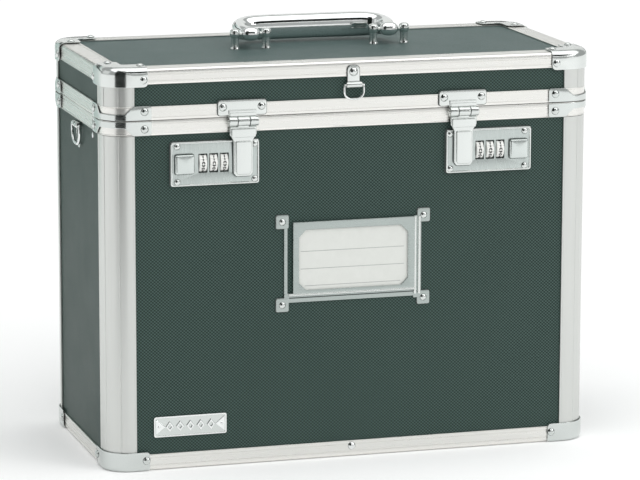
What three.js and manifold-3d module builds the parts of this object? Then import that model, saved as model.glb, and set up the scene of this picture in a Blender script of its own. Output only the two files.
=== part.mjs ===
// A tall aluminium-framed case: a laminate box held in aluminium rails, with a hinged top lid, a folding
// bow handle, two combination locks with hasps, a label holder, tie rings and a lid stay.
//
// Millimetres, +Z up. The origin is the centre of the underside. The front face looks along -Y.
import * as THREE from "three";
import { mergeVertices } from "three/addons/utils/BufferGeometryUtils.js";
import { LoftGeometry } from "three/addons/geometries/LoftGeometry.js";
import Module from "manifold-3d";

const wasm = await Module();
wasm.setup();

// ---------------------------------------------------------------- driving dimensions
const WIDTH = 438;
const DEPTH = 206;
const HEIGHT = 350;
const CORNER_R = 22;
const PARTING_Z = 305.7;
const GAP = 0.3;
const HALF_W = WIDTH / 2;
const HALF_D = DEPTH / 2;

// Layers of a wall, as distances inward from the outside of the rails.
const SKIN = 1.0;
const PANEL = 4.0;
const LINING = 2.0;
const PANEL_FACE = SKIN + GAP;
const PANEL_BACK = PANEL_FACE + PANEL;
const INNER_FACE = PANEL_BACK + GAP;
const INNER_LEAF_BACK = INNER_FACE + SKIN;
const LINING_BACK = INNER_FACE + LINING;

// Rails: how far each leaf reaches over the panels.
const BOTTOM_RAIL_TOP = 14.6;
const BASE_RIM_LOW = 292.8;
const LID_RIM_TOP = 317.8;
const TOP_RAIL_LOW = 336.5;
const FLANGE = 19;
const RAIL_EDGE_R = 3.5;
const BEAD = 0.4;
const BEAD_HEIGHT = 1.0;
const RIM_WEB = 4.2;
const PARTING_GAP = 0.2;
const SEAL_LIP = { outer: 8, inner: 9.5, rise: 2.8 };

// Corner fittings.
const POST_FLANGE = 25.8;
const FITTING_GAP = BEAD + GAP;
const FITTING_T = 0.8;
const CAP_LEG = 37.5;
const CAP_LOW = 334.5;
const CAP_RIVET = { edge: 33.4, z: 340.7 };
const BRACKET_LEG = 36;
const BRACKET_TOP = 17;
const BRACKET_RIVET = { edge: 31.5, z: 9.5 };
const RIVET = { r: 3.0, h: 1.9 };

// Locks, hasps and their hinge, for the right-hand side; the left is its mirror image.
const LOCK = { x: 123.45, z: 267.05, w: 78.3, h: 38.3, t: 2.6, rim: 0.8, rimWidth: 1.6, rivetXs: [88.2, 156.6] };
const LOCK_BOX = { x0: 90, x1: 160, z0: 254.6, z1: 279.8, back: 15, wall: 1.0 };
const WHEEL = { r: 8.5, w: 6.9, bore: 1.7, z: 267.2, inset: 4.4, xs: [115.2, 124.6, 134.0] };
const WINDOW = { w: 7.3, h: 16.6 };
const AXLE_R = 1.5;
const SLIDER = { x: 150.6, size: 17, t: 3.3, travel: 3.5, stem: 6 };
const HASP = { x: 99.2, z: 302.5, out: 4.6, knuckleR: 4.3, bore: 1.9, pin: 1.6 };
const HASP_TONGUE = { low: 257.4, wide: 24, narrow: 16.3, shoulder: 287, top: 297.5, t: 2.0, out: 2.9 };
const HASP_PLATE = { w: 43, z0: 307.3, z1: 320.3, t: 1.2, rivetX: 17, rivetZ: 314.6 };

// Rear piano hinge.
const HINGE = { out: 5.3, r: 3.6, bore: 1.65, pin: 1.3, length: 380, knuckles: 10, t: 1.5, leaf: 11.5 };

// Folding handle.
const HANDLE = { z: 362, barrelX: 63.75, barrelW: 15.5, barrelR: 6, bore: 2.3, reach: 42 };
const HANDLE_POST = { xs: [49.5, 78], r: 3, headR: 4.4, top: 366.5, pin: 2.0 };

// Label holder and name plate on the front.
const LABEL = { x0: -54.7, x1: 57, z0: 148, z1: 211.5, windowX: 49.4, windowZ0: 151.4, windowZ1: 204.7 };
const LABEL_LUG = { x: 64, w: 11.5, h: 12, z0: 139.0, z1: 212.1 };
const NAME_PLATE = { x: -146.4, z: 38.9, w: 64.7, h: 18.1 };

// Tie rings.
const LID_RING = { z: 329.5, out: 2.6, wire: 0.9, w: 18.6, drop: 12.2, tab: 11.4, tabTop: 346 };
const SIDE_RING = { z: 288.6, out: 3.2, wire: 1.3, w: 32, drop: 20, tab: 17, tabLow: 266 };

// Lid stay: two flat bars on the left wall.
const STAY = { baseY: -51.5, baseZ: 287, lidY: -13, lidZ: 318, midY: 79.03, midZ: 282.6, w: 9, t: 1.5 };
const STAY_LOWER_X = -207.9;
const STAY_UPPER_X = -205.9;

// How finely curves are divided; an arc gets twice this many steps.
const CORNER_STEPS = 3;
const SMALL_STEPS = 2;
const RIVET_SIDES = 8;

// ---------------------------------------------------------------- materials
const aluminium = new THREE.MeshStandardMaterial({ color: 0xdcdcd8, roughness: 0.35, metalness: 1 });
const laminate = new THREE.MeshStandardMaterial({ color: 0x46574f, roughness: 0.6, metalness: 0 });
const chrome = new THREE.MeshStandardMaterial({ color: 0xe8e8ea, roughness: 0.15, metalness: 1 });
const steel = new THREE.MeshStandardMaterial({ color: 0xb9bdbe, roughness: 0.4, metalness: 1 });
const felt = new THREE.MeshStandardMaterial({ color: 0x2b2d2e, roughness: 0.95, metalness: 0 });
const paper = new THREE.MeshStandardMaterial({ color: 0xf1f1ee, roughness: 0.8, metalness: 0 });
const whitePlastic = new THREE.MeshStandardMaterial({ color: 0xf4f4f0, roughness: 0.45, metalness: 0 });

// ---------------------------------------------------------------- solids
function solid(geometry) {
  const bare = geometry.index ? geometry.toNonIndexed() : geometry.clone();
  bare.deleteAttribute("normal");
  bare.deleteAttribute("uv");
  const merged = mergeVertices(bare, 1e-4);
  const vertProperties = merged.attributes.position.array;
  const triVerts = new Uint32Array(merged.index.array);
  return new wasm.Manifold(new wasm.Mesh({ numProp: 3, vertProperties, triVerts }));
}

function join(...pieces) {
  return pieces.reduce((all, piece) => all.add(piece));
}

function cut(body, ...tools) {
  return tools.reduce((left, tool) => left.subtract(tool), body);
}

function toMesh(name, body, material) {
  const data = body.getMesh();
  const geometry = new THREE.BufferGeometry();
  geometry.setAttribute("position", new THREE.BufferAttribute(data.vertProperties, 3));
  geometry.setIndex(new THREE.BufferAttribute(data.triVerts, 1));
  geometry.computeVertexNormals();
  const mesh = new THREE.Mesh(geometry, material);
  mesh.name = name;
  return mesh;
}

// A box between two corners.
function box(x0, x1, y0, y1, z0, z1) {
  const geometry = new THREE.BoxGeometry(x1 - x0, y1 - y0, z1 - z0);
  return solid(geometry.translate((x0 + x1) / 2, (y0 + y1) / 2, (z0 + z1) / 2));
}

// A cylinder along one axis, between two places on that axis; a and b are its centre in the other two.
function rod(axis, r, from, to, a, b, segments = 16) {
  const geometry = new THREE.CylinderGeometry(r, r, to - from, segments);
  const middle = (from + to) / 2;
  if (axis === "x") return solid(geometry.rotateZ(-Math.PI / 2).translate(middle, a, b));
  if (axis === "y") return solid(geometry.translate(a, middle, b));
  return solid(geometry.rotateX(Math.PI / 2).translate(a, b, middle));
}

// A low domed rivet head standing along +Y, sunk a little into the face that it joins.
function dome(r, h) {
  const profile = [
    new THREE.Vector2(0, -0.6),
    new THREE.Vector2(r, -0.6),
    new THREE.Vector2(r, 0.25 * h),
    new THREE.Vector2(r * 0.72, 0.8 * h),
    new THREE.Vector2(0, h),
  ];
  return new THREE.LatheGeometry(profile, RIVET_SIDES);
}

function frontRivet(x, y, z, r = RIVET.r, h = RIVET.h) {
  return solid(dome(r, h).rotateX(Math.PI).translate(x, y, z));
}

function backRivet(x, y, z, r = RIVET.r, h = RIVET.h) {
  return solid(dome(r, h).translate(x, y, z));
}

function sideRivet(side, x, y, z, r = RIVET.r, h = RIVET.h) {
  return solid(dome(r, h).rotateZ((-side * Math.PI) / 2).translate(x, y, z));
}

function topRivet(x, y, z, r = RIVET.r, h = RIVET.h) {
  return solid(dome(r, h).rotateX(Math.PI / 2).translate(x, y, z));
}

function roundedRect(w, d, r, T = THREE.Shape) {
  const shape = new T();
  const x = w / 2 - r;
  const y = d / 2 - r;
  shape.absarc(x, -y, r, -Math.PI / 2, 0, false);
  shape.absarc(x, y, r, 0, Math.PI / 2, false);
  shape.absarc(-x, y, r, Math.PI / 2, Math.PI, false);
  shape.absarc(-x, -y, r, Math.PI, 1.5 * Math.PI, false);
  shape.closePath();
  return shape;
}

function polygon(points) {
  return new THREE.Shape(points.map(([x, y]) => new THREE.Vector2(x, y)));
}

function extrude(shape, depth, curveSegments = CORNER_STEPS) {
  return new THREE.ExtrudeGeometry(shape, { depth, bevelEnabled: false, curveSegments });
}

// The case's plan outline, moved in by an offset, from z0 to z1.
function plan(offset, z0, z1) {
  const outline = roundedRect(WIDTH - 2 * offset, DEPTH - 2 * offset, Math.max(CORNER_R - offset, 2));
  return solid(extrude(outline, z1 - z0).translate(0, 0, z0));
}

// The same, with both horizontal edges rounded.
function softPlan(offset, z0, z1, r, steps) {
  const outline = roundedRect(WIDTH - 2 * offset, DEPTH - 2 * offset, Math.max(CORNER_R - offset, 2));
  const geometry = new THREE.ExtrudeGeometry(outline, {
    depth: z1 - z0 - 2 * r,
    bevelThickness: r,
    bevelSize: r,
    bevelOffset: -r,
    bevelSegments: steps,
    curveSegments: CORNER_STEPS,
  });
  return solid(geometry.translate(0, 0, z0 + r));
}

// A level band that follows the case's outline.
function ring(outer, inner, z0, z1) {
  return cut(plan(outer, z0, z1), plan(inner, z0 - 1, z1 + 1));
}

// A flat plate standing in the XZ plane: shape in (x, z), from yFront back to yBack.
function uprightPlate(shape, yFront, yBack, curveSegments = SMALL_STEPS) {
  const geometry = extrude(shape, yBack - yFront, curveSegments);
  return solid(geometry.rotateX(Math.PI / 2).translate(0, yBack, 0));
}

// A flat plate standing in the YZ plane: shape in (y, z), from x0 to x1.
function sidePlate(shape, x0, x1, curveSegments = SMALL_STEPS) {
  const geometry = extrude(shape, x1 - x0, curveSegments);
  return solid(geometry.rotateX(Math.PI / 2).rotateZ(Math.PI / 2).translate(x0, 0, 0));
}

// ---------------------------------------------------------------- base box
const FRONT_Y = -HALF_D;
const PANEL_FRONT_Y = -HALF_D + PANEL_FACE;
const PANEL_EDGE = CORNER_R + GAP;
const WALL_LOW = PANEL_BACK + GAP;
const WALL_HIGH = PARTING_Z - PARTING_GAP - RIM_WEB - GAP;

function lockCutOut(side) {
  const x0 = LOCK_BOX.x0 - GAP;
  const x1 = LOCK_BOX.x1 + GAP;
  const xs = [side * x0, side * x1].sort((a, b) => a - b);
  return box(xs[0], xs[1], FRONT_Y - 5, FRONT_Y + 20, LOCK_BOX.z0 - GAP, LOCK_BOX.z1 + GAP);
}

function frontPanel() {
  const x = HALF_W - PANEL_EDGE;
  const board = box(-x, x, PANEL_FRONT_Y, PANEL_FRONT_Y + PANEL, WALL_LOW, WALL_HIGH);
  return cut(board, lockCutOut(-1), lockCutOut(1));
}

function backPanel() {
  const x = HALF_W - PANEL_EDGE;
  return box(-x, x, -PANEL_FRONT_Y - PANEL, -PANEL_FRONT_Y, WALL_LOW, WALL_HIGH);
}

function sidePanel(side) {
  const y = HALF_D - PANEL_EDGE;
  const xs = [side * (HALF_W - PANEL_FACE), side * (HALF_W - PANEL_BACK)].sort((a, b) => a - b);
  return box(xs[0], xs[1], -y, y, WALL_LOW, WALL_HIGH);
}

function floorPanel() {
  const board = softPlan(PANEL_FACE, PANEL_FACE, PANEL_BACK + 3, 1.5, 1);
  return cut(board, box(-HALF_W, HALF_W, -HALF_D, HALF_D, PANEL_BACK, HEIGHT));
}

// Section of the corner profile with its outer corner at (0, 0): a quarter-round skin with two drawn grooves,
// and a lip with a bead that overlaps each panel's edge.
function postSection() {
  const groove = [25.7, 64.3];
  const angles = [0, 9, 17, 24.4, groove[0], 27, 36, 45, 54, 63, groove[1], 65.6, 73, 81, 90];
  const onArc = (r, degrees) => {
    const a = THREE.MathUtils.degToRad(degrees);
    return [CORNER_R - r * Math.sin(a), CORNER_R - r * Math.cos(a)];
  };
  const outer = angles.map((a) => onArc(groove.includes(a) ? CORNER_R - 0.7 : CORNER_R, a));
  const inner = [86, 68, 45, 22, 4].map((a) => onArc(CORNER_R - 2, a));
  const lip = [
    [POST_FLANGE - 1.2, 0],
    [POST_FLANGE - 1.0, -BEAD],
    [POST_FLANGE - 0.2, -BEAD],
    [POST_FLANGE, 0],
    [POST_FLANGE, SKIN],
    [CORNER_R, SKIN],
    [CORNER_R, PANEL_BACK],
    [CORNER_R - 1.5, PANEL_BACK],
  ];
  const swap = ([x, y]) => [y, x];
  return polygon([...outer, ...lip.map(swap), ...inner, ...lip.reverse()]);
}

function cornerPost(sideX, sideY) {
  const z0 = BOTTOM_RAIL_TOP + GAP;
  const geometry = extrude(postSection(), BASE_RIM_LOW - GAP - z0);
  const mesh = toMesh("", solid(geometry), aluminium);
  mesh.position.set(-sideX * -HALF_W, sideY * HALF_D, z0);
  mesh.scale.set(-sideX, -sideY, 1);
  return mesh;
}

// Inverted channel over the panels' top edges, with a lip inside that locates the lid.
function baseRimFrame() {
  const top = PARTING_Z - PARTING_GAP;
  return join(
    ring(0, SKIN, BASE_RIM_LOW, top),
    ring(-BEAD, SKIN, BASE_RIM_LOW, BASE_RIM_LOW + BEAD_HEIGHT),
    ring(INNER_FACE, INNER_LEAF_BACK, BASE_RIM_LOW, top),
    ring(0, SEAL_LIP.inner, top - RIM_WEB, top),
    ring(SEAL_LIP.outer, SEAL_LIP.inner, top - RIM_WEB, PARTING_Z + SEAL_LIP.rise),
  );
}

function bottomFrame() {
  const below = box(-HALF_W, HALF_W, -HALF_D, HALF_D, BOTTOM_RAIL_TOP, HEIGHT);
  const shell = cut(softPlan(0, 0, BOTTOM_RAIL_TOP + 10, RAIL_EDGE_R, 3), below);
  const hollow = softPlan(SKIN, SKIN, BOTTOM_RAIL_TOP + 10, 1.5, 1);
  const bead = ring(-BEAD, SKIN, BOTTOM_RAIL_TOP - BEAD_HEIGHT, BOTTOM_RAIL_TOP);
  return cut(join(shell, bead), hollow, plan(FLANGE, -1, 5));
}

// The region of plan that a corner fitting covers: a leg along each face.
function legRegion(leg, reach, z0, z1) {
  const near = -6;
  const shape = new THREE.Shape();
  shape.moveTo(near, near);
  shape.lineTo(leg, near);
  shape.lineTo(leg, reach);
  shape.lineTo(reach + 7, reach);
  shape.quadraticCurveTo(reach + 1, reach + 1, reach, reach + 7);
  shape.lineTo(reach, leg);
  shape.lineTo(near, leg);
  shape.closePath();
  return extrude(shape, z1 - z0, 4).translate(0, 0, z0);
}

// Places a corner shape that was drawn with its outer corner at (0, 0) at one corner of the case.
function atCorner(geometry, sideX, sideY) {
  const placed = geometry.clone().scale(-sideX, -sideY, 1).translate(sideX * HALF_W, sideY * HALF_D, 0);
  if (sideX * sideY < 0) {
    const flipped = placed.index ? placed.toNonIndexed() : placed;
    const p = flipped.attributes.position;
    for (let i = 0; i < p.count; i += 3) {
      const b = new THREE.Vector3().fromBufferAttribute(p, i + 1);
      const c = new THREE.Vector3().fromBufferAttribute(p, i + 2);
      p.setXYZ(i + 1, c.x, c.y, c.z);
      p.setXYZ(i + 2, b.x, b.y, b.z);
    }
    return solid(flipped);
  }
  return solid(placed);
}

function wallRivet(sideY, x, out, z) {
  const y = sideY * (HALF_D + out);
  return sideY < 0 ? frontRivet(x, y, z) : backRivet(x, y, z);
}

function bottomBracket(sideX, sideY) {
  const out = FITTING_GAP + FITTING_T;
  const shell = softPlan(-out, -out + 1.2, BRACKET_TOP + 10, RAIL_EDGE_R + 1, 3);
  const hollow = softPlan(-FITTING_GAP, -5, BRACKET_TOP + 10, 1, 1);
  const region = atCorner(legRegion(BRACKET_LEG, 12, 1.5, BRACKET_TOP), sideX, sideY);
  const band = cut(shell, hollow).intersect(region);
  const x = sideX * (HALF_W - BRACKET_RIVET.edge);
  const y = sideY * (HALF_D - BRACKET_RIVET.edge);
  return join(
    band,
    wallRivet(sideY, x, out, BRACKET_RIVET.z),
    sideRivet(sideX, sideX * (HALF_W + out), y, BRACKET_RIVET.z),
  );
}

function baseLining() {
  const tray = cut(plan(INNER_FACE, INNER_FACE, BASE_RIM_LOW - GAP), plan(LINING_BACK, LINING_BACK, HEIGHT));
  return cut(tray, lockCutOut(-1), lockCutOut(1));
}

// ---------------------------------------------------------------- lid shell
const LID_LOW = PARTING_Z + PARTING_GAP;

// The lid's rim rail, with the quarter-round skins that stand on it at the four corners.
function lidRimFrame() {
  const skin = ring(0, SKIN, LID_RIM_TOP - 1, TOP_RAIL_LOW - GAP);
  const far = HALF_W + 5;
  const near = HALF_W - POST_FLANGE;
  const between = join(
    box(-near, near, -far, far, LID_RIM_TOP - 2, HEIGHT),
    box(-far, far, POST_FLANGE - HALF_D, HALF_D - POST_FLANGE, LID_RIM_TOP - 2, HEIGHT),
  );
  return join(
    cut(skin, between),
    ring(0, SKIN, LID_LOW, LID_RIM_TOP),
    ring(-BEAD, SKIN, LID_RIM_TOP - BEAD_HEIGHT, LID_RIM_TOP),
    ring(INNER_FACE, INNER_LEAF_BACK, LID_LOW, LID_RIM_TOP),
    ring(0, INNER_LEAF_BACK, LID_LOW, LID_LOW + RIM_WEB),
  );
}

const TOP_PANEL_Z = HEIGHT - PANEL_FACE;

function lidWall() {
  return ring(PANEL_FACE, PANEL_BACK, LID_LOW + RIM_WEB + GAP, TOP_PANEL_Z - PANEL - GAP);
}

function lidTopPanel() {
  const board = softPlan(PANEL_FACE, TOP_PANEL_Z - PANEL - 3, TOP_PANEL_Z, 1.5, 1);
  return cut(board, box(-HALF_W, HALF_W, -HALF_D, HALF_D, 0, TOP_PANEL_Z - PANEL));
}

function lidTopFrame() {
  const above = box(-HALF_W, HALF_W, -HALF_D, HALF_D, 0, TOP_RAIL_LOW);
  const shell = cut(softPlan(0, TOP_RAIL_LOW - 10, HEIGHT, RAIL_EDGE_R, 3), above);
  const hollow = softPlan(SKIN, TOP_RAIL_LOW - 10, HEIGHT - SKIN, 1.5, 1);
  const bead = ring(-BEAD, SKIN, TOP_RAIL_LOW, TOP_RAIL_LOW + BEAD_HEIGHT);
  return cut(join(shell, bead), hollow, plan(FLANGE, HEIGHT - 5, HEIGHT + 1));
}

function lidLining() {
  const z1 = TOP_PANEL_Z - PANEL - GAP;
  const tray = plan(INNER_FACE, LID_RIM_TOP + GAP, z1);
  return cut(tray, plan(LINING_BACK, LID_RIM_TOP - 1, z1 - LINING));
}

// Pressed three-way cap over a top corner.
function topCap(sideX, sideY) {
  const out = FITTING_GAP + FITTING_T;
  const shell = softPlan(-out, CAP_LOW - 12, HEIGHT + out, RAIL_EDGE_R + out, 2);
  const hollow = softPlan(-FITTING_GAP, CAP_LOW - 13, HEIGHT + FITTING_GAP, RAIL_EDGE_R + FITTING_GAP, 2);
  const region = atCorner(legRegion(CAP_LEG, FLANGE, CAP_LOW, HEIGHT + 4), sideX, sideY);
  const pressed = cut(shell, hollow).intersect(region);
  const x = sideX * (HALF_W - CAP_RIVET.edge);
  const y = sideY * (HALF_D - CAP_RIVET.edge);
  const onTop = FLANGE / 2;
  return join(
    pressed,
    wallRivet(sideY, x, out, CAP_RIVET.z),
    sideRivet(sideX, sideX * (HALF_W + out), y, CAP_RIVET.z),
    topRivet(x, sideY * (HALF_D - onTop), HEIGHT + out),
    topRivet(sideX * (HALF_W - onTop), y, HEIGHT + out),
  );
}

// ---------------------------------------------------------------- rear hinge
const HINGE_Y = HALF_D + HINGE.out;
const KNUCKLE_W = HINGE.length / HINGE.knuckles;

function knuckle(index) {
  const x0 = -HINGE.length / 2 + index * KNUCKLE_W + GAP / 2;
  const x1 = x0 + KNUCKLE_W - GAP;
  const tube = rod("x", HINGE.r, x0, x1, HINGE_Y, PARTING_Z, 10);
  return { tube, clearance: box(x0 - GAP, x1 + GAP, HALF_D, HINGE_Y + 5, PARTING_Z - 4.2, PARTING_Z + 4.2) };
}

// One leaf of the hinge: its plate on the rail and every second knuckle round the pin.
function hingeLeaf(first, z0, z1) {
  const y0 = HALF_D + FITTING_GAP;
  const own = [];
  const others = [];
  for (let i = 0; i < HINGE.knuckles; i += 1) (i % 2 === first ? own : others).push(knuckle(i));
  const plate = box(-HINGE.length / 2, HINGE.length / 2, y0, y0 + HINGE.t, z0, z1);
  const trimmed = cut(plate, ...others.map((k) => k.clearance));
  const bore = rod("x", HINGE.bore, -HALF_W, HALF_W, HINGE_Y, PARTING_Z, 10);
  return cut(join(trimmed, ...own.map((k) => k.tube)), bore);
}

function hingePin() {
  const x = HINGE.length / 2;
  return join(
    rod("x", HINGE.pin, -x - 1.2, x + 1.2, HINGE_Y, PARTING_Z, 12),
    rod("x", HINGE.pin + 0.9, -x - 2.4, -x - 0.6, HINGE_Y, PARTING_Z, 12),
    rod("x", HINGE.pin + 0.9, x + 0.6, x + 2.4, HINGE_Y, PARTING_Z, 12),
  );
}

// ---------------------------------------------------------------- locks (drawn for the right-hand side)
const LOCK_BACK_Y = PANEL_FRONT_Y - GAP;
const LOCK_FRONT_Y = LOCK_BACK_Y - LOCK.t;
const WHEEL_Y = FRONT_Y + WHEEL.inset;

function lockPlate() {
  const shape = roundedRect(LOCK.w, LOCK.h, 2.5);
  const field = roundedRect(LOCK.w - 2 * LOCK.rimWidth, LOCK.h - 2 * LOCK.rimWidth, 1.5, THREE.Path);
  const rimShape = roundedRect(LOCK.w, LOCK.h, 2.5);
  rimShape.holes.push(field);
  const plate = uprightPlate(shape, LOCK_FRONT_Y, LOCK_BACK_Y, 1);
  const rim = uprightPlate(rimShape, LOCK_FRONT_Y - LOCK.rim, LOCK_FRONT_Y + 1, 1);
  const placed = join(plate, rim).translate([LOCK.x, 0, LOCK.z]);
  const windows = WHEEL.xs.map((x) =>
    box(x - WINDOW.w / 2, x + WINDOW.w / 2, FRONT_Y - 9, FRONT_Y + 9, WHEEL.z - WINDOW.h / 2, WHEEL.z + WINDOW.h / 2),
  );
  const s = SLIDER.stem / 2 + GAP;
  const slot = box(SLIDER.x - s - SLIDER.travel, SLIDER.x + s, FRONT_Y - 9, FRONT_Y + 9, LOCK.z - s, LOCK.z + s);
  const keeper = box(HASP.x - 3, HASP.x + 3, FRONT_Y - 9, FRONT_Y + 9, 262, 272);
  const rivets = LOCK.rivetXs.flatMap((x) =>
    [-1, 1].map((j) => frontRivet(x, LOCK_FRONT_Y, LOCK.z + j * 15.2, 2.6, 2.0)),
  );
  return cut(join(placed, ...rivets), ...windows, slot, keeper);
}

function lockBox() {
  const { x0, x1, z0, z1, wall } = LOCK_BOX;
  const y0 = PANEL_FRONT_Y;
  const y1 = FRONT_Y + LOCK_BOX.back;
  const tray = cut(
    box(x0, x1, y0, y1, z0, z1),
    box(x0 + wall, x1 - wall, y0 - 1, y1 - wall, z0 + wall, z1 - wall),
  );
  const half = WHEEL.w / 2 + 1.2;
  const webs = [WHEEL.xs[0] - half - 1, WHEEL.xs[2] + half].map((x) =>
    box(x, x + 1, y0 + 0.5, y1 - wall / 2, z0 + wall / 2, z1 - wall / 2),
  );
  return cut(join(tray, ...webs), rod("x", AXLE_R + 0.15, x0 + 5, x1 - 5, WHEEL_Y, WHEEL.z, 16));
}

function wheelAxle() {
  const half = WHEEL.w / 2 + 1.2;
  return rod("x", AXLE_R, WHEEL.xs[0] - half - 2.5, WHEEL.xs[2] + half + 2.5, WHEEL_Y, WHEEL.z, 16);
}

// Number wheel: ten raised faces with a finger groove between each pair.
function numberWheel(x) {
  const shape = new THREE.Shape();
  const teeth = 10;
  for (let i = 0; i < teeth; i += 1) {
    const a = ((i - 0.37) / teeth) * 2 * Math.PI;
    const b = ((i + 0.37) / teeth) * 2 * Math.PI;
    const tooth = [a, b].map((t) => new THREE.Vector2(WHEEL.r * Math.cos(t), WHEEL.r * Math.sin(t)));
    if (i === 0) shape.moveTo(tooth[0].x, tooth[0].y);
    else shape.lineTo(tooth[0].x, tooth[0].y);
    shape.lineTo(tooth[1].x, tooth[1].y);
    const c = ((i + 0.5) / teeth) * 2 * Math.PI;
    shape.lineTo((WHEEL.r - 0.5) * Math.cos(c), (WHEEL.r - 0.5) * Math.sin(c));
  }
  shape.closePath();
  const w = WHEEL.w / 2;
  const blank = sidePlate(shape, -w, w).translate([x, WHEEL_Y, WHEEL.z]);
  return cut(blank, rod("x", WHEEL.bore, x - w - 1, x + w + 1, WHEEL_Y, WHEEL.z, 16));
}

function lockSlider() {
  const y1 = LOCK_FRONT_Y - GAP;
  const button = new THREE.ExtrudeGeometry(roundedRect(SLIDER.size, SLIDER.size, 2), {
    depth: SLIDER.t - 1.0,
    bevelThickness: 1.0,
    bevelSize: 1.4,
    bevelOffset: -1.4,
    bevelSegments: 2,
    curveSegments: 1,
  });
  const head = solid(button.rotateX(Math.PI / 2).translate(SLIDER.x, y1, LOCK.z));
  const s = SLIDER.stem / 2;
  const flat = box(SLIDER.x - 30, SLIDER.x + 30, y1, y1 + 20, LOCK.z - 30, LOCK.z + 30);
  return join(
    cut(head, flat),
    box(SLIDER.x - s, SLIDER.x + s, y1 - 1, y1 + 8, LOCK.z - s, LOCK.z + s),
    box(SLIDER.x - s - 1.5, SLIDER.x + s + 1.5, y1 + 5.5, y1 + 8, LOCK.z - s - 1.5, LOCK.z + s + 1.5),
  );
}

const HASP_Y = FRONT_Y - HASP.out;

// Plate on the lid rail with the two outer knuckles and the hinge pin.
function haspBracket() {
  const y1 = FRONT_Y - FITTING_GAP;
  const height = HASP_PLATE.z1 - HASP_PLATE.z0;
  const plate = uprightPlate(roundedRect(HASP_PLATE.w, height, 2.5), y1 - HASP_PLATE.t, y1);
  const placed = plate.translate([HASP.x, 0, (HASP_PLATE.z0 + HASP_PLATE.z1) / 2]);
  const ears = [-1, 1].map((side) => {
    const xs = [HASP.x + side * 5.6, HASP.x + side * 13].sort((a, b) => a - b);
    return join(
      rod("x", HASP.knuckleR, xs[0], xs[1], HASP_Y, HASP.z, 16),
      box(xs[0], xs[1], y1 - 3.4, y1, HASP.z + 1, HASP_PLATE.z0 + 2.5),
    );
  });
  const rivets = [-1, 1].map((side) =>
    frontRivet(HASP.x + side * HASP_PLATE.rivetX, y1 - HASP_PLATE.t, HASP_PLATE.rivetZ),
  );
  const pin = rod("x", HASP.pin, HASP.x - 12, HASP.x + 12, HASP_Y, HASP.z, 16);
  return join(placed, ...ears, ...rivets, pin);
}

function haspTongue() {
  const { low, wide, narrow, shoulder, top, t, out } = HASP_TONGUE;
  const w = wide / 2;
  const n = narrow / 2;
  const outline = polygon([
    [-n + 2.4, low], [n - 2.4, low], [n, low + 3], [n, shoulder - 3], [w, shoulder + 2.4],
    [w, top - 1.2], [w - 1.2, top], [-w + 1.2, top], [-w, top - 1.2], [-w, shoulder + 2.4],
    [-n, shoulder - 3], [-n, low + 3],
  ]);
  const ridge = polygon([
    [-n + 3.2, low + 1.6], [n - 3.2, low + 1.6], [n - 1.7, low + 3.6], [n - 1.7, shoulder - 4.5],
    [-n + 1.7, shoulder - 4.5], [-n + 1.7, low + 3.6],
  ]);
  const y1 = FRONT_Y - out;
  const blade = join(
    uprightPlate(outline, y1 - t, y1),
    uprightPlate(ridge, y1 - t - 1.1, y1 - 1),
    box(-w + 1.5, w - 1.5, y1 - t - 0.8, y1 - 1, shoulder + 2.5, top - 1.5),
    box(-4.9, 4.9, HASP_Y - 1.2, y1, top - 2, HASP.z - 2.5),
    rod("x", HASP.knuckleR, -5.2, 5.2, HASP_Y, HASP.z, 16),
  ).translate([HASP.x, 0, 0]);
  return cut(blade, rod("x", HASP.bore, HASP.x - 20, HASP.x + 20, HASP_Y, HASP.z, 16));
}

// ---------------------------------------------------------------- handle
// Half outline of the bow in plan, from the barrel to the middle of the grip.
const BOW = [
  { x: HANDLE.barrelX, y: 3, w: 5.0, h: 5.4 },
  { x: HANDLE.barrelX + 1.6, y: 13, w: 4.6, h: 6.2 },
  { x: HANDLE.barrelX + 1.6, y: 24, w: 4.9, h: 7.6 },
  { x: HANDLE.barrelX - 3, y: 34.5, w: 6.2, h: 9.4 },
  { x: HANDLE.barrelX - 13, y: 40.5, w: 7.2, h: 10.6 },
  { x: HANDLE.barrelX - 30, y: HANDLE.reach, w: 7.4, h: 11 },
  { x: 0, y: HANDLE.reach + 0.4, w: 7.4, h: 11 },
];

function handleBow() {
  const half = BOW.slice(0, -1);
  const stations = [...half, BOW.at(-1), ...half.toReversed().map((s) => ({ ...s, x: -s.x }))];
  const path = new THREE.CatmullRomCurve3(stations.map((s) => new THREE.Vector3(s.x, s.y, HANDLE.z)));
  const sizes = new THREE.CatmullRomCurve3(stations.map((s) => new THREE.Vector3(s.w, s.h, 0)));
  const steps = 20;
  const sides = 10;
  const up = new THREE.Vector3(0, 0, 1);
  const sections = [];
  for (let i = 0; i <= steps; i += 1) {
    const centre = path.getPoint(i / steps);
    const size = sizes.getPoint(i / steps);
    const across = new THREE.Vector3().crossVectors(up, path.getTangent(i / steps)).normalize();
    const section = [];
    for (let j = 0; j < sides; j += 1) {
      const a = (j / sides) * 2 * Math.PI;
      const squared = (v) => Math.sign(v) * Math.abs(v) ** 0.8;
      const point = centre.clone().addScaledVector(across, size.x * squared(Math.cos(a)));
      section.push(point.addScaledVector(up, size.y * squared(Math.sin(a))));
    }
    sections.push(section);
  }
  return solid(new LoftGeometry(sections, { capStart: true, capEnd: true }));
}

function handle() {
  const w = HANDLE.barrelW / 2;
  const barrels = [-1, 1].map((side) =>
    rod("x", HANDLE.barrelR, side * HANDLE.barrelX - w, side * HANDLE.barrelX + w, 0, HANDLE.z, 20),
  );
  const bores = [-1, 1].map((side) =>
    rod("x", HANDLE.bore, side * HANDLE.barrelX - w - 2, side * HANDLE.barrelX + w + 2, 0, HANDLE.z, 16),
  );
  return cut(join(handleBow(), ...barrels), ...bores);
}

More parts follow.
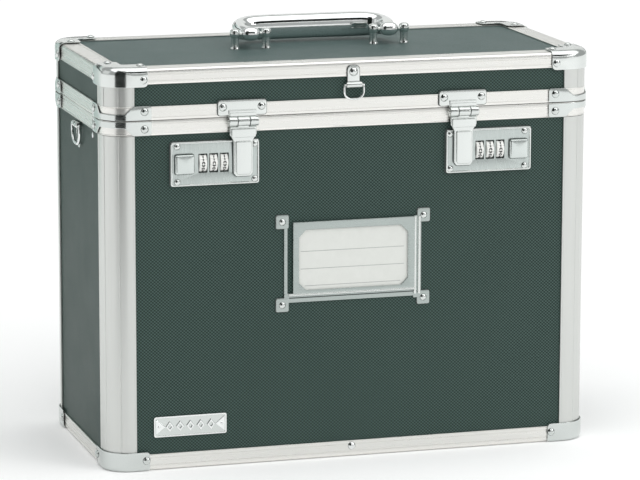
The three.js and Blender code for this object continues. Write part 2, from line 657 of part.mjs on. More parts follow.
// Two turned posts with the pivot pin between them.
function handleMount(side) {
  const low = TOP_PANEL_Z + GAP;
  const profile = [
    [0, low], [5.2, low], [5.2, low + 1.4], [HANDLE_POST.r, low + 3.2],
    [HANDLE_POST.r, HANDLE_POST.top - 3], [HANDLE_POST.headR, HANDLE_POST.top - 2.4],
    [HANDLE_POST.headR, HANDLE_POST.top - 0.9], [HANDLE_POST.headR - 1.2, HANDLE_POST.top], [0, HANDLE_POST.top],
  ].map(([r, z]) => new THREE.Vector2(r, z));
  const posts = HANDLE_POST.xs.map((x) =>
    solid(new THREE.LatheGeometry(profile, 10).rotateX(Math.PI / 2).translate(side * x, 0, 0)),
  );
  const xs = HANDLE_POST.xs.map((x) => side * x).sort((a, b) => a - b);
  return join(...posts, rod("x", HANDLE_POST.pin, xs[0], xs[1], 0, HANDLE.z, 16));
}

// ---------------------------------------------------------------- label holder and name plate
function labelFrame() {
  const y1 = PANEL_FRONT_Y - GAP;
  const { x0, x1, z0, z1, windowX, windowZ0, windowZ1 } = LABEL;
  const sheetBack = y1 - 1.3;
  const sheetFront = sheetBack - 1.2;
  const c = 6.5;
  const window = polygon([
    [-windowX + c, windowZ0], [windowX - c, windowZ0], [windowX, windowZ0 + c], [windowX, windowZ1 - c],
    [windowX - c, windowZ1], [-windowX + c, windowZ1], [-windowX, windowZ1 - c], [-windowX, windowZ0 + c],
  ]);
  const lugs = [];
  for (const x of [-LABEL_LUG.x, LABEL_LUG.x]) {
    for (const z of [LABEL_LUG.z0, LABEL_LUG.z1]) {
      const shape = roundedRect(LABEL_LUG.w, LABEL_LUG.h, 1.5);
      lugs.push(uprightPlate(shape, y1 - 1.2, y1, 1).translate([x, 0, z]));
      lugs.push(frontRivet(x, y1 - 1.2, z, 2.6, 1.8));
    }
  }
  const body = join(
    box(x0, x1, sheetFront, sheetBack, z0, z1),
    box(x1 - 2.4, x1, sheetFront, y1, z0, z1),
    box(x0, x1, sheetFront, y1, z0, z0 + 1.7),
    box(x0, x1, sheetFront, y1, z1 - 1.7, z1),
    box(-62.4, -59.3, y1 - 1.2, y1, LABEL_LUG.z0, LABEL_LUG.z1),
    box(x1 - 0.5, 62, y1 - 1.2, y1, LABEL_LUG.z0, LABEL_LUG.z1),
    box(-62.4, 62, y1 - 1.2, y1, 140.6, z0 + 0.5),
    box(x1 + 0.8, x1 + 2.4, y1 - 2.2, y1, 141.4, z1),
    box(x0 - 4, x1 + 2.4, y1 - 2.2, y1, 144.6, 146.2),
    ...lugs,
  );
  return cut(body, uprightPlate(window, sheetFront - 1, sheetBack + 0.2));
}

function labelCard() {
  const y1 = PANEL_FRONT_Y - GAP - GAP;
  return box(LABEL.x0 + 2, LABEL.x1 - 2.8, y1 - 0.6, y1, LABEL.z0 + 2.1, LABEL.z1 - 2.1);
}

function namePlate() {
  const y1 = PANEL_FRONT_Y - GAP;
  const inner = roundedRect(NAME_PLATE.w - 3, NAME_PLATE.h - 3, 1, THREE.Path);
  const border = roundedRect(NAME_PLATE.w, NAME_PLATE.h, 2);
  border.holes.push(inner);
  return join(
    uprightPlate(roundedRect(NAME_PLATE.w, NAME_PLATE.h, 2), y1 - 0.9, y1, 1),
    uprightPlate(border, y1 - 1.4, y1 - 0.5, 1),
    frontRivet(-NAME_PLATE.w / 2 + 4.2, y1 - 0.9, 0, 1.3, 1.0),
    frontRivet(NAME_PLATE.w / 2 - 4.2, y1 - 0.9, 0, 1.3, 1.0),
  ).translate([NAME_PLATE.x, 0, NAME_PLATE.z]);
}

// ---------------------------------------------------------------- tie rings
// A wire loop hanging from a straight bar, drawn in (across, down) with the bar at the top.
function wireLoop(width, drop, wire) {
  const a = width / 2 - wire;
  const curve = new THREE.CurvePath();
  const corner = Math.min(a * 0.8, drop * 0.6);
  const depth = drop - wire;
  const v = (x, z) => new THREE.Vector3(x, 0, z);
  curve.add(new THREE.LineCurve3(v(-a, 0), v(-a, corner - depth)));
  curve.add(new THREE.QuadraticBezierCurve3(v(-a, corner - depth), v(-a, -depth), v(-a + corner, -depth)));
  curve.add(new THREE.LineCurve3(v(-a + corner, -depth), v(a - corner, -depth)));
  curve.add(new THREE.QuadraticBezierCurve3(v(a - corner, -depth), v(a, -depth), v(a, corner - depth)));
  curve.add(new THREE.LineCurve3(v(a, corner - depth), v(a, 0)));
  const circle = new THREE.Shape();
  circle.absarc(0, 0, wire, 0, 2 * Math.PI, false);
  const bow = new THREE.ExtrudeGeometry(circle, {
    steps: 16, curveSegments: 4, bevelEnabled: false, extrudePath: curve,
  });
  return join(solid(bow), rod("x", wire, -a - wire * 0.9, a + wire * 0.9, 0, 0, 8));
}

function lidRingClip() {
  const y1 = FRONT_Y - FITTING_GAP;
  const y = y1 - LID_RING.out;
  const w = LID_RING.tab / 2;
  const tab = uprightPlate(roundedRect(LID_RING.tab, LID_RING.tabTop - LID_RING.z + 1.5, 2), y1 - 1, y1);
  return cut(
    join(
      tab.translate([0, 0, (LID_RING.tabTop + LID_RING.z - 1.5) / 2]),
      rod("x", LID_RING.wire + 1.5, -w, w, y, LID_RING.z, 16),
      box(-w, w, y, y1, LID_RING.z, LID_RING.z + 2.3),
      frontRivet(0, y1 - 1, 340.6, 3.8, 1.9),
    ),
    rod("x", LID_RING.wire + 0.35, -w - 1, w + 1, y, LID_RING.z, 14),
  );
}

function lidRing() {
  const y = FRONT_Y - FITTING_GAP - LID_RING.out;
  return wireLoop(LID_RING.w, LID_RING.drop, LID_RING.wire).translate([0, y, LID_RING.z]);
}

// Clip on the left wall, with a pointed tail below the fold.
function sideRingClip() {
  const x1 = -HALF_W + PANEL_FACE - GAP;
  const x = x1 - SIDE_RING.out;
  const w = SIDE_RING.tab / 2;
  const { z, tabLow } = SIDE_RING;
  const tail = polygon([[-w, z + 2.4], [-w, z - 8], [-2, tabLow], [2, tabLow], [w, z - 8], [w, z + 2.4]]);
  return cut(
    join(
      sidePlate(tail, x1 - 1, x1),
      rod("y", SIDE_RING.wire + 1.2, -w, w, x, z, 16),
      box(x, x1, -w, w, z, z + 2.4),
      sideRivet(-1, x1 - 1, 0, z - 14.5, 2.8, 1.4),
    ),
    rod("y", SIDE_RING.wire + 0.4, -w - 1, w + 1, x, z, 14),
  );
}

function sideRing() {
  const x = -HALF_W + PANEL_FACE - GAP - SIDE_RING.out;
  const loop = wireLoop(SIDE_RING.w, SIDE_RING.drop, SIDE_RING.wire);
  return loop.rotate([0, 0, 90]).translate([x, 0, SIDE_RING.z]);
}

// ---------------------------------------------------------------- lid stay
// A flat bar with round ends between two pivots in the YZ plane.
function stayBar(x, y0, z0, y1, z1) {
  const length = Math.hypot(y1 - y0, z1 - z0);
  const r = STAY.w / 2;
  const shape = new THREE.Shape();
  shape.absarc(0, 0, r, Math.PI / 2, 1.5 * Math.PI, false);
  shape.absarc(length, 0, r, -Math.PI / 2, Math.PI / 2, false);
  shape.closePath();
  const bar = sidePlate(shape, x - STAY.t / 2, x + STAY.t / 2);
  const tilt = THREE.MathUtils.radToDeg(Math.atan2(z1 - z0, y1 - y0));
  return bar.rotate([tilt, 0, 0]).translate([0, y0, z0]);
}

const STAY_WALL_X = -HALF_W + LINING_BACK + GAP;

function stayLower() {
  const bar = stayBar(STAY_LOWER_X, STAY.baseY, STAY.baseZ, STAY.midY, STAY.midZ);
  return join(bar, rod("x", 4, STAY_WALL_X, STAY_LOWER_X + STAY.t, STAY.baseY, STAY.baseZ, 12));
}

function stayUpper() {
  const bar = stayBar(STAY_UPPER_X, STAY.lidY, STAY.lidZ, STAY.midY, STAY.midZ);
  return join(bar, rod("x", 4, STAY_WALL_X, STAY_UPPER_X + STAY.t, STAY.lidY, STAY.lidZ, 12));
}

// ---------------------------------------------------------------- assembly
const attacheCase = new THREE.Group();
const base = new THREE.Group();
const lid = new THREE.Group();
attacheCase.add(base, lid);

base.add(
  toMesh("front_panel", frontPanel(), laminate),
  toMesh("back_panel", backPanel(), laminate),
  toMesh("left_panel", sidePanel(-1), laminate),
  toMesh("right_panel", sidePanel(1), laminate),
  toMesh("floor_panel", floorPanel(), laminate),
  toMesh("base_rim_frame", baseRimFrame(), aluminium),
  toMesh("bottom_frame", bottomFrame(), aluminium),
  toMesh("base_lining", baseLining(), felt),
  toMesh("label_frame", labelFrame(), aluminium),
  toMesh("label_card", labelCard(), paper),
  toMesh("name_plate", namePlate(), aluminium),
  toMesh("hinge_leaf_base", hingeLeaf(0, PARTING_Z - HINGE.leaf, PARTING_Z - 0.8), steel),
  toMesh("hinge_pin", hingePin(), steel),
  toMesh("stay_lower", stayLower(), steel),
);

lid.add(
  toMesh("lid_top_panel", lidTopPanel(), laminate),
  toMesh("lid_wall", lidWall(), laminate),
  toMesh("lid_top_frame", lidTopFrame(), aluminium),
  toMesh("lid_rim_frame", lidRimFrame(), aluminium),
  toMesh("lid_lining", lidLining(), felt),
  toMesh("handle", handle(), chrome),
  toMesh("hinge_leaf_lid", hingeLeaf(1, PARTING_Z + 0.8, PARTING_Z + HINGE.leaf), steel),
  toMesh("lid_ring_clip", lidRingClip(), chrome),
  toMesh("lid_ring", lidRing(), chrome),
  toMesh("stay_upper", stayUpper(), steel),
);

for (const [vertical, sideY] of [["front", -1], ["back", 1]]) {
  for (const [side, sideX] of [["left", -1], ["right", 1]]) {
    const post = cornerPost(sideX, sideY);
    post.name = `corner_post_${vertical}_${side}`;
    base.add(post);
    base.add(toMesh(`bottom_bracket_${vertical}_${side}`, bottomBracket(sideX, sideY), chrome));
    lid.add(toMesh(`top_cap_${vertical}_${side}`, topCap(sideX, sideY), chrome));
  }
}

for (const [side, sideX] of [["left", -1], ["right", 1]]) {
  const lock = new THREE.Group();
  lock.scale.x = sideX;
  lock.add(
    toMesh(`lock_plate_${side}`, lockPlate(), aluminium),
    toMesh(`lock_box_${side}`, lockBox(), steel),
    toMesh(`wheel_axle_${side}`, wheelAxle(), steel),
    toMesh(`lock_slider_${side}`, lockSlider(), chrome),
    toMesh(`hasp_bracket_${side}`, haspBracket(), chrome),
    toMesh(`hasp_${side}`, haspTongue(), chrome),
  );
  WHEEL.xs.forEach((x, i) => {
    lock.add(toMesh(`number_wheel_${side}_${i + 1}`, numberWheel(x), whitePlastic));
  });
  attacheCase.add(lock);

  const tie = new THREE.Group();
  tie.scale.x = -sideX;
  tie.add(toMesh(`ring_clip_${side}`, sideRingClip(), chrome));
  tie.add(toMesh(`ring_${side}`, sideRing(), chrome));
  attacheCase.add(tie);
  lid.add(toMesh(`handle_mount_${side}`, handleMount(sideX), chrome));
}

export default attacheCase;
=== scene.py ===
"""Looks of the aluminium-framed case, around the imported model: rails, corners, hardware and laminate."""
import math

import bmesh
import bpy
from mathutils import Euler, Matrix, Vector


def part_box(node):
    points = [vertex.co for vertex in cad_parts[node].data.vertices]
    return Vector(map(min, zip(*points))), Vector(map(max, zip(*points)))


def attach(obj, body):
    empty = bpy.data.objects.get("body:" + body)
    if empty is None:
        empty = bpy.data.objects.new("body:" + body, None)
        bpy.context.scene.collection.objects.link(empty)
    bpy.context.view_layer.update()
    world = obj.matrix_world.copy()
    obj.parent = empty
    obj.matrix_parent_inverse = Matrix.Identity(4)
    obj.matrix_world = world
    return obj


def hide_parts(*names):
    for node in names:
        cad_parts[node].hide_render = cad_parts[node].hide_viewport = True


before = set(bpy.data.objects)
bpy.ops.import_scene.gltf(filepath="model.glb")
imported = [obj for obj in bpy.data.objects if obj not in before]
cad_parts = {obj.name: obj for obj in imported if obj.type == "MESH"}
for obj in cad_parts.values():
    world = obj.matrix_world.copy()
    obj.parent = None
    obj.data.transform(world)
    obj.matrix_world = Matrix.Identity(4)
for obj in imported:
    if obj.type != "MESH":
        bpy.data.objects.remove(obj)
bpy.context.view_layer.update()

# ------------ sizes, in millimetres unless named otherwise
MM = 0.001
QUARTER = math.pi / 2

# the case's outline and the heights of its rails, taken from the model
BEAD = 0.4
RAIL_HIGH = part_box("bottom_frame")[1]
HALF_W = RAIL_HIGH.x / MM - BEAD
HALF_D = RAIL_HIGH.y / MM - BEAD
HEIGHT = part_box("lid_top_frame")[1].z / MM
BOTTOM_RAIL_TOP = RAIL_HIGH.z / MM
BASE_RIM_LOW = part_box("base_rim_frame")[0].z / MM
LID_RIM_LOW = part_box("lid_rim_frame")[0].z / MM
TOP_RAIL_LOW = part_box("lid_top_frame")[0].z / MM
LID_RIM_TOP = 317.8
BASE_TOP = 305.5
CORNER_R = 22
HALF_ARC = CORNER_R * QUARTER / 2
ARC_STEPS = 14

# sections: radius of the top edge, sheet thickness, faces of the inner leaf, width of the flange on top
EDGE_R, SKIN, INNER, INNER_BACK, FLANGE = 3.5, 1.0, 5.6, 6.6, 19
RIM_WEB = 4.2
GROOVE_DEEP = 0.3
POST_FLANGE, POST_BACK, POST_GROOVES = 25.8, 5.3, (25.7, 64.3)

# fittings: how far their backs stand off the rails, their thickness, and the swelling of the caps' legs
FITTING_OUT, FITTING_T = 0.75, 0.85
PLUMP, PLUMP_STEP, PLUMP_MIDDLE, PLUMP_HALF_H, PLUMP_HALF_W = 0.7, 1.5, 7.5, 8.5, 8.2
# how far the dark sheet of painted shade under a fitting reaches past its edge, and the sheet's thickness:
# painted shadow lines round the fittings
SHADE_MARGIN, SHADE_T = 0.5, 0.3

LATTICE_ACROSS, LATTICE_UP = 3.07, 2.76
SIDE_NAMES = {-1: "left", 1: "right"}
FACE_NAMES = {-1: "front", 1: "back"}
CORNERS = [(sx, sy, f"{FACE_NAMES[sy]}_{SIDE_NAMES[sx]}") for sx in (-1, 1) for sy in (-1, 1)]


# ------------ node materials
class Nodes:
    """A material's node tree, with short calls for what these materials share."""

    def __init__(self, name):
        self.material = bpy.data.materials.new(name)
        self.material.use_nodes = True
        self.tree = self.material.node_tree
        self.shader = self.tree.nodes["Principled BSDF"]
        self.place = self.add("ShaderNodeTexCoord").outputs["Object"]

    def add(self, kind, **values):
        node = self.tree.nodes.new(kind)
        for key, value in values.items():
            setattr(node, key, value)
        return node

    def link(self, out, into):
        self.tree.links.new(out, into)

    def set(self, **values):
        for key, value in values.items():
            self.shader.inputs[key.replace("_", " ")].default_value = value

    def scaled(self, scale):
        node = self.add("ShaderNodeMapping")
        node.inputs["Scale"].default_value = scale
        self.link(self.place, node.inputs["Vector"])
        return node.outputs["Vector"]

    def noise(self, scale, detail=3.0, vector=None):
        node = self.add("ShaderNodeTexNoise")
        node.inputs["Scale"].default_value = scale
        node.inputs["Detail"].default_value = detail
        self.link(vector or self.place, node.inputs["Vector"])
        return node.outputs["Fac"]

    def ramp(self, value, low, high, at=(0.0, 1.0)):
        node = self.add("ShaderNodeMapRange")
        node.inputs["From Min"].default_value = at[0]
        node.inputs["From Max"].default_value = at[1]
        node.inputs["To Min"].default_value = low
        node.inputs["To Max"].default_value = high
        self.link(value, node.inputs["Value"])
        return node.outputs["Result"]

    def colours(self, value, dark, light):
        node = self.add("ShaderNodeMix", data_type="RGBA")
        self.link(value, node.inputs["Factor"])
        node.inputs["A"].default_value = (*dark, 1)
        node.inputs["B"].default_value = (*light, 1)
        self.link(node.outputs["Result"], self.shader.inputs["Base Color"])

    def math(self, operation, a, b=None):
        node = self.add("ShaderNodeMath", operation=operation)
        for socket, value in zip(node.inputs, (a, b)):
            if value is None:
                continue
            if isinstance(value, (int, float)):
                socket.default_value = value
            else:
                self.link(value, socket)
        return node.outputs["Value"]

    def bump(self, height, distance):
        node = self.add("ShaderNodeBump")
        node.inputs["Distance"].default_value = distance
        self.link(height, node.inputs["Height"])
        self.link(node.outputs["Normal"], self.shader.inputs["Normal"])

    def rough(self, value):
        self.link(value, self.shader.inputs["Roughness"])


def brushed_metal(name, colour, rough, streak, depth=0.000015):
    """Satin metal with fine streaks; streak is the noise scale along X, Y and Z."""
    n = Nodes(name)
    n.set(Metallic=1.0)
    streaks = n.noise(1.0, 4.0, n.scaled(streak))
    clouds = n.noise(9.0, 2.0)
    tone = n.math("ADD", n.math("MULTIPLY", streaks, 0.6), n.math("MULTIPLY", clouds, 0.4))
    n.colours(tone, tuple(c * 0.965 for c in colour), tuple(min(c * 1.03, 0.97) for c in colour))
    n.rough(n.ramp(streaks, rough[0], rough[1], (0.3, 0.7)))
    n.bump(streaks, depth)
    return n.material


def polished_metal(name, colour, rough):
    """Plated metal: nearly smooth, with faint orange peel and a few handling marks."""
    n = Nodes(name)
    n.set(Metallic=1.0)
    smudge = n.noise(55.0, 3.0)
    n.colours(smudge, tuple(c * 0.96 for c in colour), colour)
    n.rough(n.ramp(smudge, rough[0], rough[1], (0.35, 0.7)))
    n.bump(n.noise(700.0, 1.0), 0.00001)
    return n.material


def wall_distance(n, split):
    """Distance along a wall: X on the front and back, Y on the sides, by the face's own direction."""
    facing = n.add("ShaderNodeSeparateXYZ")
    n.link(n.add("ShaderNodeTexCoord").outputs["Normal"], facing.inputs["Vector"])
    on_side = n.math("GREATER_THAN", n.math("ABSOLUTE", facing.outputs["X"]), 0.5)
    pick = n.add("ShaderNodeMix", data_type="FLOAT")
    n.link(on_side, pick.inputs["Factor"])
    n.link(split.outputs["X"], pick.inputs["A"])
    n.link(split.outputs["Y"], pick.inputs["B"])
    return pick.outputs["Result"]


def laminate(name, up, dark, light, gloss):
    """Green-grey laminate embossed with a lattice of diamonds, whose second direction is up."""
    n = Nodes(name)
    split = n.add("ShaderNodeSeparateXYZ")
    n.link(n.place, split.inputs["Vector"])
    across = wall_distance(n, split) if up == "Z" else split.outputs["X"]
    pitches = ((across, LATTICE_ACROSS * MM), (split.outputs[up], LATTICE_UP * MM))
    waves = [n.math("COSINE", n.math("MULTIPLY", place, 2 * math.pi / pitch)) for place, pitch in pitches]
    dots = n.ramp(n.math("MULTIPLY", *waves), 0.0, 1.0, (-0.5, 0.5))
    wear = n.noise(6.0, 4.0)
    tone = n.math("ADD", n.math("MULTIPLY", dots, 0.88), n.math("MULTIPLY", wear, 0.12))
    n.colours(tone, dark, light)
    n.rough(n.ramp(n.noise(30.0, 3.0), 0.46, 0.51, (0.3, 0.7)))
    n.set(Specular_IOR_Level=gloss, Specular_Tint=(0.86, 1.0, 0.96, 1))
    n.bump(n.math("ADD", dots, n.math("MULTIPLY", n.noise(2500.0, 2.0), 0.15)), 0.00015)
    return n.material


def matte(name, dark, light, rough, grain=((400, 3), (300, 2), (1200, 2)), depth=0.00002, sheen=0.0):
    """Plastic, paper or felt; grain is the noise scale and detail of its colour, roughness and relief."""
    n = Nodes(name)
    tone, gloss, relief = (n.noise(scale, detail) for scale, detail in grain)
    n.colours(tone, dark, light)
    n.rough(n.ramp(gloss, *rough))
    n.bump(relief, depth)
    n.set(Sheen_Weight=sheen, Sheen_Roughness=0.6)
    return n.material


ALUMINIUM = (0.83, 0.82, 0.79)
M = {
    "rail": brushed_metal("rail_aluminium", ALUMINIUM, (0.25, 0.32), (10, 10, 900), 0.000006),
    # the corner profiles' aluminium is a darker copy of the rails' aluminium: painted shade for the darker
    # reflections they show
    "post": brushed_metal("post_aluminium_painted_darker", (0.66, 0.67, 0.65), (0.30, 0.40), (900, 900, 14)),
    "sleeve": brushed_metal("label_aluminium", (0.42, 0.465, 0.45), (0.22, 0.34), (30, 30, 700)),
    "nickel": brushed_metal("lock_nickel_satin", (0.52, 0.565, 0.55), (0.22, 0.36), (900, 900, 30)),
    "button": brushed_metal("button_nickel", (0.62, 0.66, 0.645), (0.12, 0.20), (900, 900, 60)),
    "steel": brushed_metal("zinc_steel", (0.52, 0.53, 0.53), (0.28, 0.45), (120, 120, 120)),
    "chrome": polished_metal("chrome_plate", (0.86, 0.875, 0.87), (0.05, 0.13)),
    "pressed": polished_metal("pressed_plate", (0.72, 0.745, 0.73), (0.11, 0.18)),
    "tab": polished_metal("pressed_tab", (0.66, 0.69, 0.675), (0.12, 0.20)),
    "wall": laminate("laminate_wall", "Z", (0.0, 0.008, 0.005), (0.058, 0.098, 0.086), 0.36),
    # the top laminate is a lighter copy of the wall laminate: painted light for the sheen the flat top
    # catches
    "top": laminate("laminate_top_painted_lighter", "Y", (0.005, 0.020, 0.016), (0.150, 0.212, 0.207), 0.22),
    "felt": matte("felt_lining", (0.018, 0.0192, 0.0204), (0.045, 0.048, 0.051), (0.85, 1.0),
                  ((220, 3), (1800, 4), (1800, 4)), 0.0004, 0.5),
    "paper": matte("paper_card", (0.65, 0.66, 0.63), (0.71, 0.72, 0.69), (0.7, 0.9),
                   ((160, 4), (900, 2), (1500, 3)), 0.00003),
    "ink": matte("black_ink", (0.01, 0.01, 0.01), (0.03, 0.03, 0.03), (0.4, 0.6)),
    "rule": matte("grey_rule", (0.36, 0.37, 0.36), (0.46, 0.47, 0.46), (0.6, 0.8)),
    # a dark sheet of painted shade, laid under fittings, buttons and rivets to draw the shadow lines round
    # them
    "painted_shade": matte("painted_shade_sheet", (0.05, 0.06, 0.058), (0.09, 0.105, 0.10), (0.6, 0.8)),
    "wheel": matte("white_wheel", (0.80, 0.80, 0.77), (0.88, 0.88, 0.86), (0.3, 0.45)),
}


# ------------ mesh making
def in_scene(name, data):
    """A new object of the scene that holds data."""
    made = bpy.data.objects.new(name, data)
    bpy.context.scene.collection.objects.link(made)
    return made


def finish_mesh(name, bm, material, body, replaced=(), sharp=32):
    """Turns a bmesh in millimetres into a piece that rides on a body."""
    bmesh.ops.remove_doubles(bm, verts=bm.verts, dist=0.002)
    bmesh.ops.recalc_face_normals(bm, faces=bm.faces)
    bm.transform(Matrix.Scale(MM, 4))
    mesh = bpy.data.meshes.new(name)
    bm.to_mesh(mesh)
    bm.free()
    mesh.polygons.foreach_set("use_smooth", [True] * len(mesh.polygons))
    mesh.set_sharp_from_angle(angle=math.radians(sharp))
    mesh.materials.append(material)
    # faces marked as painted shade take the dark painted-shade material in a second slot
    if any(face.material_index for face in mesh.polygons):
        mesh.materials.append(M["painted_shade"])
    piece = in_scene(name, mesh)
    if replaced:
        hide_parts(*replaced)
    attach(piece, body)


def merged(parts):
    """One bmesh out of several, which are used up."""
    whole = bmesh.new()
    for part in parts:
        mesh = bpy.data.meshes.new("part")
        part.to_mesh(mesh)
        part.free()
        whole.from_mesh(mesh)
        bpy.data.meshes.remove(mesh)
    return whole


def rounded(points, radius, steps=5):
    """A closed outline with its corners rounded. A point may carry its own radius."""
    outline = []
    count = len(points)
    for i, point in enumerate(points):
        r = point[2] if len(point) > 2 else radius
        here = Vector(point[:2])
        before = Vector(points[i - 1][:2]) - here
        after = Vector(points[(i + 1) % count][:2]) - here
        turn = before.angle(after)
        cut = r / math.tan(turn / 2)
        if r < 0.01:
            outline.append(here)
            continue
        a = here + before.normalized() * cut
        b = here + after.normalized() * cut
        for k in range(steps + 1):
            t = k / steps
            outline.append(a * (1 - t) ** 2 + here * 2 * t * (1 - t) + b * t ** 2)
    return outline


def rectangle(x0, x1, y0, y1, radius, steps=5):
    return rounded([(x0, y0), (x1, y0), (x1, y1), (x0, y1)], radius, steps)


def symmetric(half):
    """A whole outline from its right half, with the left half its mirror image."""
    left = [(-x, *rest) for x, *rest in reversed(half)]
    return left[-1:] + half + left[:-1]


def shifted(bm, x=0.0, y=0.0, z=0.0):
    bm.transform(Matrix.Translation((x, y, z)))
    return bm


def mirrored(bm, side):
    """Right-hand hardware as drawn, or its mirror image for the left-hand side."""
    bm.transform(Matrix.Scale(side, 4, (1, 0, 0)))
    return bm


def curve_mesh(curve):
    """The bmesh that a curve or a text makes, which is used up."""
    holder = in_scene(curve.name, curve)
    graph = bpy.context.evaluated_depsgraph_get()
    mesh = bpy.data.meshes.new_from_object(holder.evaluated_get(graph))
    bm = bmesh.new()
    bm.from_mesh(mesh)
    bpy.data.objects.remove(holder)
    bpy.data.meshes.remove(mesh)
    bpy.data.curves.remove(curve)
    return bm


def plate(outlines, thickness, bevel=0.25, bevel_steps=2):
    """A flat plate in the XY plane, standing from 0 to thickness in Z, with rounded edges and holes."""
    curve = bpy.data.curves.new("plate", "CURVE")
    curve.dimensions = "2D"
    curve.fill_mode = "BOTH"
    curve.extrude = thickness / 2 - bevel
    curve.bevel_depth = bevel
    curve.bevel_resolution = bevel_steps
    curve.offset = -bevel
    for outline in outlines:
        spline = curve.splines.new("POLY")
        spline.points.add(len(outline) - 1)
        for point, place in zip(spline.points, outline):
            point.co = (place[0], place[1], 0, 1)
        spline.use_cyclic_u = True
    bm = curve_mesh(curve)
    bmesh.ops.remove_doubles(bm, verts=bm.verts, dist=0.001)
    return shifted(bm, z=thickness / 2)


def seal_under(x0, x1, z0, z1, radius, y):
    """A thin dark sheet of painted shade on y, a little larger than the upright plate before it, drawing its
    shadow line.
    """
    outline = rectangle(x0 - SHADE_MARGIN, x1 + SHADE_MARGIN, z0 - SHADE_MARGIN, z1 + SHADE_MARGIN, radius + SHADE_MARGIN)
    return sealed(front_plate(outline, y, SHADE_T, 0.1))


def facing_front(bm, y):
    """Stands a plate up so that its X, Y become X, Z and its thickness grows toward the viewer from y."""
    bm.transform(Matrix.Translation((0, y, 0)) @ Matrix.Rotation(QUARTER, 4, "X"))
    return bm


def front_plate(outline, y, thickness, bevel=0.25, bevel_steps=2):
    return facing_front(plate([outline], thickness, bevel, bevel_steps), y)


def side_plate(outline, x, thickness, bevel, bevel_steps=2):
    """A plate that stands on the right wall and grows outward from x; its own X runs along the case's Y."""
    bm = plate([outline], thickness, bevel, bevel_steps)
    bm.transform(Matrix(((0, 0, 1, x), (1, 0, 0, 0), (0, 1, 0, 0), (0, 0, 0, 1))))
    return bm


def sweep(section, rings, closed):
    """A skin through copies of a closed section; rings gives each copy's points."""
    bm = bmesh.new()
    rows = [[bm.verts.new(p) for p in ring] for ring in rings]
    count = len(section)
    last = len(rows) if closed else len(rows) - 1
    for i in range(last):
        a, b = rows[i], rows[(i + 1) % len(rows)]
        for j in range(count):
            k = (j + 1) % count
            bm.faces.new((a[j], a[k], b[k], b[j]))
    if not closed:
        bm.faces.new(rows[0][::-1])
        bm.faces.new(rows[-1])
    return bm


def plan_directions():
    """Corner centre and direction at each step round the case's rounded outline."""
    for sx, sy, start in ((1, -1, -90), (1, 1, 0), (-1, 1, 90), (-1, -1, 180)):
        centre = Vector((sx * (HALF_W - CORNER_R), sy * (HALF_D - CORNER_R)))
        for k in range(ARC_STEPS + 1):
            a = math.radians(start + 90 * k / ARC_STEPS)
            yield centre, Vector((math.cos(a), math.sin(a)))


def rail(section):
    """A rail frame: a section of (offset outward, height) swept round the case."""
    rings = []
    for centre, direction in plan_directions():
        rings.append([(*(centre + direction * (CORNER_R + offset)), z) for offset, z in section])
    return sweep(section, rings, True)


def lathe(profile, steps=28):
    """A turned solid round Z from (radius, height) points, the first and last on the axis."""
    bm = bmesh.new()
    rows = []
    for r, z in profile:
        if r < 1e-6:
            rows.append([bm.verts.new((0, 0, z))])
            continue
        ring = [2 * math.pi * k / steps for k in range(steps)]
        rows.append([bm.verts.new((r * math.cos(a), r * math.sin(a), z)) for a in ring])
    for a, b in zip(rows, rows[1:]):
        for k in range(steps):
            j = (k + 1) % steps
            quad = [a[k % len(a)], a[j % len(a)], b[j % len(b)], b[k % len(b)]]
            bm.faces.new(list(dict.fromkeys(quad)))
    return bm


def along(bm, place, direction):
    """Turns a solid made round Z to point along direction, and moves it."""
    turn = Vector(direction).to_track_quat("Z", "Y").to_matrix().to_4x4()
    bm.transform(Matrix.Translation(place) @ turn)
    return bm


def sealed(bm):
    """Marks a part as the dark sheet of painted shade that shows in a thin line round a fitting."""
    for face in bm.faces:
        face.material_index = 1
    return bm


def rivet(place, direction, r=3.2, h=1.9):
    """A rivet head with a shallow dome on a short wall, in a dark ring of painted shade."""
    slope = math.radians(46)
    ball = r * 0.94 / math.sin(slope)
    wall = h - ball * (1 - math.cos(slope))
    profile = [(0, -0.4), (r, -0.4), (r, wall - 0.25), (r * 0.985, wall - 0.1)]
    for k in range(8):
        a = slope * (1 - k / 8)
        profile.append((ball * math.sin(a), h - ball * (1 - math.cos(a))))
    profile.append((0, h))
    shade_ring_r = r + SHADE_MARGIN / 2
    shade_ring = sealed(lathe([(0, -0.3), (shade_ring_r, -0.3), (shade_ring_r, 0.08), (0, 0.08)], 24))
    return along(merged([lathe(profile, 24), shade_ring]), place, direction)


def tube(points, radius, sides=12, closed=False):
    """A round wire through points in space."""
    path = [Vector(p) for p in points]
    count = len(path)
    rings = []
    normal = None
    for i, here in enumerate(path):
        before = path[i - 1] if closed or i else here
        after = path[(i + 1) % count] if closed or i < count - 1 else here
        tangent = (after - before).normalized()
        if normal is None:
            normal = tangent.orthogonal().normalized()
        normal = (normal - tangent * normal.dot(tangent)).normalized()
        other = tangent.cross(normal)
        turn = [2 * math.pi * k / sides for k in range(sides)]
        rings.append([here + (normal * math.cos(a) + other * math.sin(a)) * radius for a in turn])
    return sweep(range(sides), rings, closed)


# ------------ wrapping fittings round a corner
def section_at(h, d, top, r):
    """(offset outward, height) of a point h along a section that bends over the top edge, d proud."""
    bend = top - r
    if h <= bend:
        return d, h
    swept = (h - bend) / r
    if swept < QUARTER:
        return (r + d) * math.cos(swept) - r, bend + (r + d) * math.sin(swept)
    return -r - (swept - QUARTER) * r, top + d


